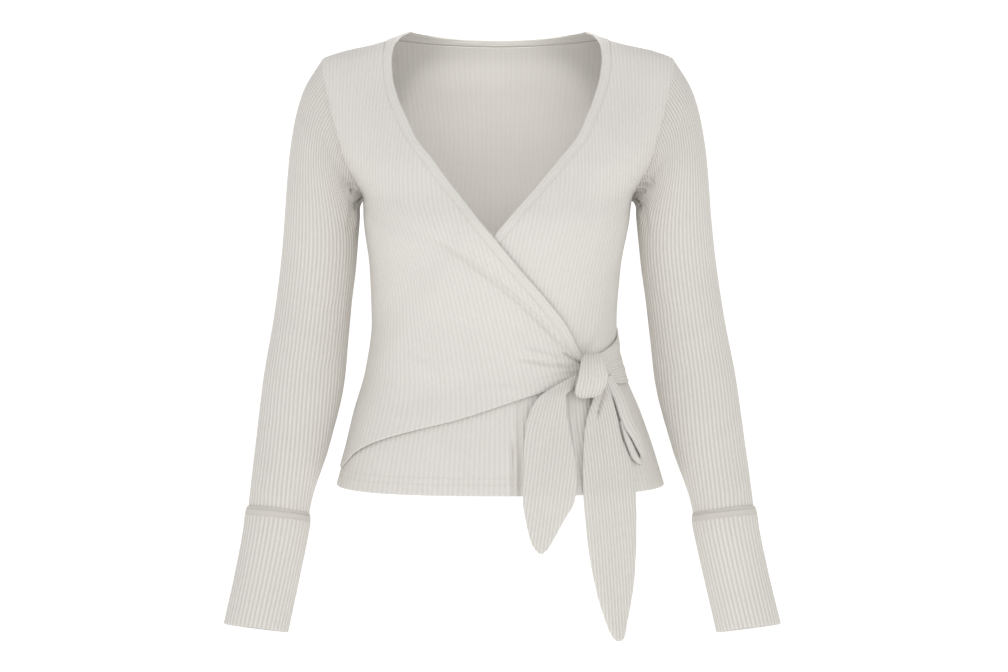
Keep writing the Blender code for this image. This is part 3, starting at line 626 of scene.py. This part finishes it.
def over_lower_edge(distance, top):
    """Height where each column of the over front meets its lower edge."""
    edge = curve(OVER_LOWER_EDGE, 1)
    bottom = np.full_like(top, -380 * MM)
    for _ in range(30):
        bottom = 0.5 * bottom + 0.5 * edge(distance(bottom))
    return bottom


def over_lift(across, z):
    """The over front lies on the body above the overlap and on the under front in it, and
    comes closer again where both are sewn into the side seam."""
    start = curve(OVERLAP_START, 1)(across)
    near_seam = ease(0.85, 1.0, across / half_width(-1, across, z))
    return OVER_LIFT * (1 - 0.55 * near_seam) * ease(start + 60 * MM, start + 5 * MM, z)


def outer_count(count, across, key, width, z):
    """Ribs as knitted outside the first key, where the columns crowd at the armpit."""
    turned = np.arccos(np.clip(key / width, 0, 1)) - np.arccos(np.clip(across / width, 0, 1))
    cut = np.degrees(turned) / (curve(OUTER_TURN, 1)(z) / MM)
    flat = (across - key) / curve(OUTER_PITCH, 1)(z)
    cut = cut + (flat - cut) * ease(ARMPIT, -130 * MM, z)
    return np.where(count > 0, count + (cut - count) * ease(-290 * MM, -235 * MM, z), count)


def add_front(name, side, keys, ends, table, neck_column, lower_edge, lift, creases, deepest, fine):
    """Add a front panel, cut along its neck seam, shoulder, armhole and lower edge."""
    curves = [curve(table, i + 1) for i in range(len(keys))]
    seam = curve(NECKLINE, neck_column)
    rib = np.arange(ends[0], ends[1] + 0.01, 1 / PER_RIB)

    def distance(z):
        columns = np.broadcast_to(rib, np.shape(z) if np.ndim(z) else rib.shape)
        return rib_distance(keys, curves, ends, side, columns, np.broadcast_to(z, columns.shape))

    def inside(across, z):
        return (across > seam(z) - 0.5 * MM) & (np.abs(across) <= half_width(side, across, z) + 1e-7)

    top = lowest_entry(distance, inside, HEM)
    z, full = rows_down(top, lower_edge(distance, top), 3.6 * MM, fine)
    across = distance(z)
    base, normal = on_body(side, across, z, lift(across, z))
    full = full * (0.5 + 0.5 * edge_share(len(rib), 0.4))[None, :]
    fold = crease_height(base[..., 0], z, creases)
    phase = outer_count(rib + 0 * z, across, curves[0](z), half_width(side, across, z), z)
    raised = CLOTH * (0.3 + 0.7 * full) + RIB * full * ribs(phase) + fold
    inner = np.maximum(fold, -deepest)
    raised = np.maximum(raised, inner + 0.5 * MM)
    piece = add_cloth(name, base + normal * raised[..., None], base + normal * inner[..., None],
                      phase, -z, knit)
    return piece


under = add_front("front_under_panel", 1, UNDER_KEYS, UNDER_ENDS, UNDER_RIBS, 4,
                  lambda distance, top: np.full_like(top, HEM), lambda across, z: 0.0 * z,
                  UNDER_CREASES, 5 * MM, None)
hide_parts("front_under")
over = add_front("front_over_panel", -1, OVER_KEYS, OVER_ENDS, OVER_RIBS, 2,
                 over_lower_edge, over_lift, OVER_CREASES, 2.7 * MM, (-205 * MM, -385 * MM))
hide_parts("front_over")

hem_runs = []
for facing, depth, creases in ((-1, FRONT_DEPTH, UNDER_CREASES), (1, BACK_DEPTH, BACK_CREASES)):
    for above in HEM_STITCHES:
        angle = np.linspace(0.02, math.pi - 0.02, 600)
        z = np.full(600, HEM + above)
        x = half_width(1, np.cos(angle), z) * np.cos(angle)
        base, normal = on_body(1, x, z, depth=depth, facing=facing)
        raised = CLOTH + 0.7 * RIB + crease_height(x, z, creases)
        hem_runs.append((base + normal * raised[:, None], normal))
add_stitches("hem_stitches", hem_runs)

# ---------------------------------------------------------------------------------------
# Neck binding: self-fabric folded double, about 9 mm wide, ribs along it, sewn round the
# back neck and down both fronts.

BINDING = 1.7 * MM
BAND_PROFILE = ((0, 0.2), (0.06, 0.62), (0.16, 0.92), (0.3, 1), (0.8, 0.98), (0.93, 0.8), (1, 0.55))
BAND_COLUMNS = 17
BAND_RIBS = 3


def band_cloth(name, base, normal, material):
    """Binding from its points on the body: column 0 is the folded edge."""
    share = np.linspace(0, 1, base.shape[1])
    profile = np.interp(share, *zip(*BAND_PROFILE))
    phase = share * BAND_RIBS + 0.5
    raised = BINDING * profile + 0.2 * MM * profile * ribs(phase)
    neck_runs.append((base[:, -3] + normal[:, -3] * raised[-3], normal[:, -3]))
    along = np.cumsum(np.linalg.norm(np.diff(base[:, :1], axis=0, prepend=base[:1, :1]), axis=-1), axis=0)
    piece = add_cloth(name, base + normal * raised[None, :, None], base, phase, along, material)
    return piece


neck_runs = []


def add_neck_band(name, side, edge_column, seam_column, low, lift):
    """Binding along a front neckline, from the shoulder down to height 'low'."""
    edge, seam = curve(NECKLINE, edge_column), curve(NECKLINE, seam_column)
    share = np.linspace(0, 1, BAND_COLUMNS)
    top = np.interp(share, (0, 1), (BACK_NECK_EDGE[1] * MM, BACK_NECK_SEAM[1] * MM))
    z = top + (low - top) * np.linspace(0, 1, 150)[:, None]
    across = edge(z) + (seam(z) - edge(z)) * share
    limit = half_width(side, across, z)
    across = np.clip(across, -limit, limit)
    across[0] = limit[0] * 0.9999
    base, normal = on_body(side, across, z, lift(across, z))
    return band_cloth(name, base, normal, binding)


bands = (
    ("neck_binding_under", "neck_band_under", 1, 3, 4, -366 * MM, lambda across, z: 0.0 * z, 0.44),
    ("neck_binding_over", "neck_band_over", -1, 1, 2, -343 * MM, over_lift, 0.42),
)
for name, solid, side, edge_column, seam_column, low, lift, length in bands:
    band = add_neck_band(name, side, edge_column, seam_column, low, lift)
    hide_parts(solid)
share = np.linspace(-1, 1, 161)[:, None]
edge_x, edge_z = back_neck(share, BACK_NECK_EDGE)
seam_x, seam_z = back_neck(share, BACK_NECK_SEAM)
down = np.linspace(0, 1, BAND_COLUMNS)[None, :]
base, normal = on_body(1, edge_x + (seam_x - edge_x) * down, edge_z + (seam_z - edge_z) * down,
                       depth=BACK_DEPTH, facing=1)
band = band_cloth("neck_binding_back", base, normal, binding)
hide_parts("neck_band_back")
add_stitches("neck_stitches", neck_runs)

# ---------------------------------------------------------------------------------------
# Sleeves and cuffs: a slim set-in sleeve whose ribs run into the underarm seam as it
# narrows, and a long cuff of the same knit, folded double, seamed to its end.

# Distance down the sleeve, outermost point (x, z), innermost point (x, z), half depth,
# the middle's place in y, and how far the section follows the armhole.
SLEEVE = (
    (0, 187, -31, 142, -176, 46, 0, 1000), (21, 206, -62, 145.5, -182, 49, 0, 500),
    (41, 215.5, -95, 146, -188, 49, -1, 200), (67, 222, -137, 145, -198, 47, -1, 50),
    (139, 230.5, -236, 147.5, -242, 43, -2, 0), (201, 238.5, -300, 154.5, -302, 41, -6, 0),
    (267, 249.5, -365, 160, -368, 39, -12, 0), (335, 257, -430, 175.5, -435, 36, -20, 0),
    (407, 264.5, -499.5, 197, -508, 33, -28, 0), (411, 264.8, -503.5, 197.3, -512, 32.6, -28.2, 0),
)
CUFF = (
    (0, 265.8, -499.5, 196.6, -507.5, 33.5, -28, 0), (6, 267.6, -505.5, 195.9, -513.5, 34.5, -28.5, 0),
    (20, 269, -519, 198, -527.5, 34.5, -29.5, 0),
    (63, 276.5, -562, 206.5, -570, 33, -33, 0), (129, 290, -623, 219.5, -632, 31, -38, 0),
)
SLEEVE_PITCH = 4.45 * MM
SLEEVE_INSET = 3.6 * MM     # from the outline in the two tables to the inside of the cloth
SLEEVE_RIB = 0.45 * MM      # the sleeves are less stretched than the body
CUFF_RIBS = 43
CUFF_BAND = 9.5 * MM
CUFF_CLOTH = 2.0 * MM
NO_BAND = -9 * MM           # a band that ends above the sleeve's first point
GROOVE_WIDTH = 1.2 * MM     # of the line that the band is stitched down along
GROOVE_DEPTH = 0.15 * MM
# The smooth band takes the knit's colour close to its painted furrow shade, so it shows a little darker.
BAND_SHADE_PHASE = 0.38           # the smooth band shows the cloth as at this share of a rib
FOREARM_TILT = 5.5 * MM     # how much higher the front of the wrist lies, as the forearm points forward
LEFT_SWING = 0.021
SWING_START = -190 * MM
# Creases of a sleeve: distance down it and angle from its outer line to the front.
SLEEVE_CREASES = (
    (2, 160, 14, 148, 30, 138, 3.0, -3.4, 0.7), (2, 168, 26, 160, 62, 150, 3.2, -3.6, 0.7),
    (6, 146, 18, 134, 40, 122, 3.4, -2.0, 0.6), (14, 174, 50, 166, 100, 160, 3.6, -2.6, 0.7),
    (30, 150, 60, 142, 110, 138, 5.0, -1.4, 0.5),
    (175, 150, 195, 120, 205, 80, 8, -1.0, 0.6), (205, 40, 225, 80, 232, 130, 9, 0.9, 0.5),
    (240, 160, 255, 120, 262, 90, 7, -1.1, 0.6), (300, 30, 318, 60, 330, 110, 9, -0.7, 0.5),
    (215, -60, 230, -110, 228, -160, 8, -1.2, 0.6), (380, 20, 392, 60, 398, 120, 6, 0.7, 0.5),
    (2, -160, 14, -148, 30, -138, 3.0, -3.0, 0.7), (2, -168, 30, -158, 66, -152, 3.4, -2.8, 0.7),
    (120, -150, 145, -120, 160, -70, 9, -0.9, 0.5),
)
CUFF_CREASES = (
    (2, -100, 14, -90, 30, -84, 5, 0.5, 0.5), (40, 20, 60, 30, 90, 34, 9, -0.5, 0.5),
)


def armhole_ring(side, angle):
    """The armhole on the body: angle 0 is the shoulder point, the front half is first."""
    z = (SHOULDER_POINT + ARMPIT) / 2 + (SHOULDER_POINT - ARMPIT) / 2 * np.cos(angle)
    across = ARMHOLE_EDGE(z)
    front, _ = on_body(side, across, z)
    rear, _ = on_body(side, across, z, depth=BACK_DEPTH, facing=1)
    ring = np.where((np.sin(angle) >= 0)[..., None], front, rear)
    ring[..., 0] += side * (1.0 * MM * np.sin(angle / 2) ** 2 - 1.1 * MM)
    return ring


def sleeve_point(side, table, station, share):
    """Point on a sleeve: 'station' down it and 'share' of half the way round, 0 on its
    outer line, positive to the front."""
    outer_x, outer_z, inner_x, inner_z, depth, middle, follow = [
        curve(table, i)(station) for i in range(1, 8)]

    def section(outer_x, outer_z, inner_x, inner_z, depth, middle, angle):
        reach_x, reach_z = (outer_x - inner_x) / 2, (outer_z - inner_z) / 2
        keep = 1 - SLEEVE_INSET / np.hypot(reach_x, reach_z)
        x = (outer_x + inner_x) / 2 + np.cos(angle) * reach_x * keep
        z = (outer_z + inner_z) / 2 + np.cos(angle) * reach_z * keep
        x = x + (LEFT_SWING * np.maximum(SWING_START - z, 0) if side > 0 else 0)
        z = z + FOREARM_TILT * ease(-400 * MM, -500 * MM, z) * np.sin(angle)
        return np.stack((side * x, middle - np.sin(angle) * (depth - SLEEVE_INSET), z), axis=-1)

    half = np.hypot(outer_x - inner_x, outer_z - inner_z) / 2
    uneven = (depth - half) / (2 * (depth + half))
    angle = np.pi * share - uneven * np.sin(2 * np.pi * share)
    ring = section(outer_x, outer_z, inner_x, inner_z, depth, middle, angle)
    first = [curve(table, i)(station * 0) for i in range(1, 7)]
    shift = armhole_ring(side, angle) - section(*first, angle)
    return ring + follow[..., None] * shift


def sleeve_grid(side, table, station, share):
    """Points of a sleeve and the directions straight out of it."""
    point = sleeve_point(side, table, station, share)
    h, s = 0.5 * MM, 0.003
    last = table[-1][0] * MM
    down = sleeve_point(side, table, np.minimum(station + h, last), share)
    down -= sleeve_point(side, table, np.maximum(station - h, 0), share)
    round_it = sleeve_point(side, table, station, share + s) - sleeve_point(side, table, station, share - s)
    return point, -side * unit(np.cross(down, round_it))


def mean_radius(table, station):
    """Mean radius of a sleeve's section."""
    outer_x, outer_z, inner_x, inner_z, depth = [curve(table, i)(station) for i in range(1, 6)]
    return (np.hypot(outer_x - inner_x, outer_z - inner_z) / 2 + depth) / 2 - CLOTH


def add_sleeve(name, side, table, phase, end, reach, thickness, creases, band):
    """Add a sleeve or cuff, cut along the underarm. 'end' is where each column ends, and
    reach(station) how many ribs lie between the outer line and the underarm seam. The first
    'band' of its length is a smooth seam allowance, stitched down along its lower edge."""
    down, full = rows_down(np.zeros_like(end), -end, 4.5 * MM, (0, -band - 4 * MM) if band > 0 else None)
    if band > 0:
        first = np.argmax(-down[:, 0] > band)
        two_rows = -np.full((2, len(phase)), band) - [[0], [0.02 * MM]]
        down = np.insert(down, [first, first], two_rows, axis=0)
        full = np.insert(full, [first, first], 1.0, axis=0)
    station = -down
    share = np.clip(phase / reach(station), -1, 1)
    base, normal = sleeve_grid(side, table, station, share)
    full = (0.5 + 0.5 * full) * edge_share(len(phase), 0.22)[None, :]
    fold = crease_height(station, share * 180 * MM, creases)
    smooth = ease(band - 0.5 * MM, band + 2 * MM, station)
    groove = GROOVE_DEPTH * np.exp(-((station - band) / GROOVE_WIDTH) ** 2)
    raised = thickness * (0.3 + 0.7 * full) + SLEEVE_RIB * full * ribs(phase) * smooth + fold - groove
    inner = base + normal * fold[..., None]
    # The smooth band is coloured near the painted furrow shade of the knit.
    flat_knit = np.where(station > band, phase, BAND_SHADE_PHASE)
    return add_cloth(name, base + normal * raised[..., None], inner, flat_knit, station, sleeve_knit)


def phase_reach(station):
    """Ribs from the outer line to the underarm seam."""
    pitch = SLEEVE_PITCH * (1 + 0.07 * ease(180 * MM, 420 * MM, station))
    return np.pi * mean_radius(SLEEVE, station) / pitch


def sleeve_ends(phase):
    """Where each of the sleeve's ribs runs into the underarm seam."""
    length = SLEEVE[-1][0] * MM
    stations = np.linspace(0, length, 400)
    reach = np.minimum.accumulate(phase_reach(stations))
    return np.where(np.abs(phase) <= reach[-1], length,
                    np.interp(-np.abs(phase), -reach, stations))


widest = float(phase_reach(np.array(0.0)))
ribs_round = np.arange(-math.floor(widest * PER_RIB), math.floor(widest * PER_RIB) + 1) / PER_RIB
for side, word in ((-1, "right"), (1, "left")):
    sleeve = add_sleeve("sleeve_panel_" + word, side, SLEEVE, ribs_round, sleeve_ends(ribs_round),
                        phase_reach, CLOTH, SLEEVE_CREASES, NO_BAND)
    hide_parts("sleeve_" + word)

    cuff_ribs = np.arange(-CUFF_RIBS * PER_RIB // 2, CUFF_RIBS * PER_RIB // 2 + 1) / PER_RIB
    end = np.full(len(cuff_ribs), CUFF[-1][0] * MM)
    cuff = add_sleeve("cuff_panel_" + word, side, CUFF, cuff_ribs, end,
                      lambda station: CUFF_RIBS / 2 + 0 * station, CUFF_CLOTH, CUFF_CREASES, CUFF_BAND)
    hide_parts("cuff_" + word)
    row = np.full(400, CUFF_BAND - GROOVE_WIDTH)
    base, normal = sleeve_grid(side, CUFF, row, np.linspace(-0.995, 0.995, 400))
    add_stitches("cuff_stitches_" + word, [(base + normal * CUFF_CLOTH, normal)])

# ---------------------------------------------------------------------------------------
# Tie: straps of the same knit, folded double. One runs from the left side seam, the other
# is the gathered end of the over front; they are knotted once, with two hanging tails and
# a narrow loop beside the longer one.

# Outline of each tail: height, left and right edge.
SHORT_TAIL = (
    (-357, 78, 85), (-361, 70, 84), (-366, 60.5, 81), (-372, 50.3, 75), (-377, 43.5, 70),
    (-391, 33.6, 70.4), (-413, 27.8, 74), (-440, 26.6, 79.4), (-462, 26.4, 81.4), (-484, 25.8, 78.9),
    (-504.5, 28.9, 67.7), (-525, 34, 56.4), (-533, 38, 51.5), (-538, 43, 46),
)
LONG_TAIL = (
    (-360, 99, 108), (-367, 99, 112), (-381, 97.5, 116.7), (-391, 94.3, 119.6), (-402, 91, 122.2),
    (-412, 89.2, 124.2), (-422, 88.3, 126.4), (-432, 87.8, 130.4), (-443, 87.5, 135), (-453, 87.3, 138.8),
    (-466, 87.3, 141), (-485, 88.1, 141.6), (-506, 90.1, 142.2), (-527, 92.2, 142.2), (-548, 95.2, 141.4),
    (-569, 99.3, 140.2), (-590, 104.4, 137.4), (-606, 109.5, 134.4), (-618.5, 113.8, 132),
    (-625, 117.2, 131), (-629, 119.6, 129.6), (-631.5, 122.5, 127),
)
TAIL_LIFT = ((-631, 4.6), (-479, 4.8), (-430, 5.2), (-400, 7), (-377, 10), (-357, 13))
SHORT_CREASES = (
    (70, -374, 60, -395, 55, -430, 5.0, -1.0, 0.6), (48, -380, 44, -405, 40, -440, 5.0, 0.8, 0.4),
    (60, -470, 56, -490, 50, -515, 6.0, -0.6, 0.5),
)
LONG_CREASES = (
    (111, -366, 105, -384, 101, -404, 1.5, -5.0, 0.0), (104, -370, 98, -392, 93, -420, 3.0, 2.0, 0.0),
    (118, -400, 124, -430, 128, -470, 7.0, 0.7, 0.4), (100, -500, 106, -540, 112, -580, 7.0, -0.6, 0.5),
)
# Run of one rib of each tail, the others lie beside it.
SHORT_LINE = ((-355, 70), (-372, 66), (-400, 61.5), (-450, 55.5), (-500, 49), (-537, 44))
LONG_LINE = (
    (-360, 99), (-380, 104), (-401, 109), (-422, 112.5), (-450, 116), (-500, 120.5), (-560, 125), (-628, 129),
)


def behind(x, z, lift):
    """Place on the body that the camera sees at x in the plane 105 mm before the centre,
    the plane that the outlines of the tails and the loop are given in."""
    middle, eye = camera.location[0], -camera.location[1]
    point, _ = on_body(1, x, z, lift)
    seen = middle + (x - middle) * (eye + point[..., 1]) / (eye - 105 * MM)
    return seen * LEFT_WIDTH(z) / (LEFT_WIDTH(z) + lift)


def add_tail(name, table, line, pitch, height, creases):
    """Add a tail: a flat pillow whose ribs run parallel down it and end at its outline."""
    top, tip = table[0][0] * MM, table[-1][0] * MM
    place = np.linspace(0, 1, 150)[:, None]
    z = top + (tip - top) * (1 - (1 - place) ** 1.25)
    spread = np.sin(np.linspace(-np.pi / 2, np.pi / 2, 101))
    left, right = curve(table, 1)(z), curve(table, 2)(z)
    x = (left + right) / 2 + (right - left) / 2 * spread
    lift, on_cloth = curve(TAIL_LIFT, 1)(z), np.maximum(z, HEM)
    base, normal = on_body(1, behind(x, on_cloth, lift), on_cloth, lift)
    base[..., 2] = z
    crowd = 0.8 + 0.2 * ease(-372 * MM, -420 * MM, z)
    phase = (x - curve(line, 1)(z)) / (pitch * crowd)
    pillow = np.sqrt(1 - np.abs(spread) ** 2.6) * np.ones_like(z)
    pillow = pillow * ease(-0.02, 0.03, 1 - place) * np.ones_like(z)
    fold = crease_height(x, z, creases) * pillow
    front = (2.2 * MM + height * ribs(phase)) * pillow + fold
    piece = add_cloth(name, base + normal * front[..., None],
                      base - normal * (1.3 * MM * pillow - np.minimum(fold, 0))[..., None],
                      phase, top - z, relaxed_knit_deeper_shade)
    return piece


short_tail = add_tail("tie_tail_short", SHORT_TAIL, SHORT_LINE, 3.75 * MM, 0.55 * MM, SHORT_CREASES)
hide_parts("tail_short")
long_tail = add_tail("tie_tail_long", LONG_TAIL, LONG_LINE, 3.15 * MM, 1.0 * MM, LONG_CREASES)
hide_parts("tail_long")

# Strap from the side seam to the knot: heights of its edges at the seam and the knot,
# and its angle round the body from the seam.
STRAP_TOP = (-312, -341)
STRAP_BOTTOM = (-371, -367)
STRAP_ANGLE = (0.0, 0.80)
STRAP_CREASES = (
    (138, -330, 124, -342, 108, -350, 5.0, -0.9, 0.5), (140, -352, 126, -358, 110, -360, 4.0, 0.8, 0.4),
    (120, -372, 114, -369, 107, -364, 2.5, -1.6, 0.7),
)
along = np.linspace(0, 1, 60)[:, None]
down = np.linspace(0, 1, 81)[None, :]
top = STRAP_TOP[0] + (STRAP_TOP[1] - STRAP_TOP[0]) * along ** 0.8
z = (top + (STRAP_BOTTOM[0] + (STRAP_BOTTOM[1] - STRAP_BOTTOM[0]) * along - top) * down) * MM
angle = STRAP_ANGLE[0] + (STRAP_ANGLE[1] - STRAP_ANGLE[0]) * along
x = LEFT_WIDTH(z) * np.cos(angle)
base, normal = on_body(1, x, z, (0.9 + 2.1 * ease(0, 0.35, along)) * MM)
phase = down * 13 + 0.5 + 0 * along
full = edge_share(81, 50 * MM)[None, :]
fold = crease_height(base[..., 0], z, STRAP_CREASES)
raised = (1.7 + 0.35 * ribs(phase)) * MM * full + fold
strap = add_cloth("tie_strap_side", base + normal * raised[..., None],
                  base + normal * (np.minimum(fold, 0) * 0.8)[..., None], phase, along * 70 * MM, knit)
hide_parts("tie_side")

# Loop: centre line (x, z) and width, down one limb, round the end and up the other.
LOOP = (
    (112, -360, 8), (117, -370, 9.5), (123.4, -381.3, 10.4), (127, -391.5, 10.8), (130.6, -401.8, 11.4),
    (135.2, -412, 11), (141, -422.3, 9), (144.9, -432.6, 7), (148.2, -442.9, 4.6), (146.4, -449.5, 4.2),
    (140, -443, 5.6), (135.6, -432.6, 5.8), (131, -422.3, 4.6), (127.6, -414, 2.2), (124.9, -406, 1.5),
)
points = np.array([(x, z) for x, z, _ in LOOP]) * MM
length = np.concatenate(([0], np.cumsum(np.linalg.norm(np.diff(points, axis=0), axis=1))))
steps = np.linspace(0, length[-1], 140)
smooth = [np.column_stack((length / MM, column / MM)) for column in (points[:, 0], points[:, 1])]
line = np.stack([curve(rows, 1)(steps) for rows in smooth], axis=1)
width = curve(np.column_stack((length / MM, [row[2] for row in LOOP])), 1)(steps)
heading = unit(np.gradient(line, axis=0))
place = np.linspace(-1, 1, 25)
x = line[:, :1] - heading[:, 1:] * width[:, None] / 2 * place
z = line[:, 1:] + heading[:, :1] * width[:, None] / 2 * place
lift = (4.2 + 2.4 * ease(-0.41, -0.37, z)) * MM
base, normal = on_body(1, behind(x, z, lift), z, lift)
round_edge = np.sqrt(1 - np.abs(place) ** 2.4)[None, :]
phase = place[None, :] * 1.5 * np.ones((140, 1))
raised = (2.2 + 0.3 * ribs(phase)) * MM * round_edge
loop = add_cloth("tie_loop_band", base + normal * raised[..., None],
                 base - normal * (0.8 * MM * round_edge)[..., None], phase, steps[:, None], knit)
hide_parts("tie_loop")

# Knot: the strap goes once round, as a short barrel. Its edges at the top, the middle and
# the bottom are tables, so its ribs lean to the lower left.
KNOT_EDGES = ((-1, 78.5, 109), (-0.55, 79.5, 112.5), (0, 82, 113.6), (0.5, 83.5, 111), (1, 85, 108.5))
KNOT_RIBS = 9
turns = np.linspace(0, 2 * np.pi, 121)[:, None]
across = np.linspace(-1, 1, KNOT_RIBS * 8 + 1)[None, :]
rise = np.cos(turns)
edges = [np.interp(rise, [row[0] for row in KNOT_EDGES], [row[i] for row in KNOT_EDGES]) for i in (1, 2)]
x = (edges[0] + edges[1]) / 2 + (edges[1] - edges[0]) / 2 * across
size = 1 - 0.3 * np.abs(across) ** 5
phase = across * KNOT_RIBS / 2 + 0 * rise
pads = 0.6 * np.exp(-((across + 0.45 - 0.25 * rise) / 0.16) ** 2)
pads = pads - 0.5 * np.exp(-((across + 0.72 - 0.1 * rise) / 0.1) ** 2)
out = (0.75 * ribs(phase) - pads) * (1 - across ** 8)
z = -357 + (x - 97) * 0.1 + (22.6 * size + out) * rise
y = -92 + (x - 97) * 0.33 - (14.5 * size + out) * np.sin(turns)
grid = np.stack((x, y, z), axis=-1) * MM
last = grid.shape[0] * grid.shape[1]
ends = [grid[:-1, e].mean(axis=0)[None] for e in (0, -1)]
points = np.concatenate((grid.reshape(-1, 3), *ends))
corners = np.arange(last).reshape(grid.shape[:2])
corners[-1] = corners[0]
caps = [np.stack((corners[:-1, e], corners[1:, e], np.full(120, last + k)), axis=1)
        for k, e in ((0, 0), (1, -1))]
where = np.stack(np.broadcast_arrays(phase, turns * 20 * MM), axis=-1).reshape(-1, 2)
where = np.concatenate((where, where[:2]))
faces = [squares(corners), caps[0][:, ::-1], caps[1]]
lengthways = squares(np.arange(last).reshape(grid.shape[:2]))
knot = add_mesh("tie_knot", points, faces,
                [where[lengthways], where[faces[1]], where[faces[2]]], relaxed_knit_deeper_shade)
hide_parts("knot")
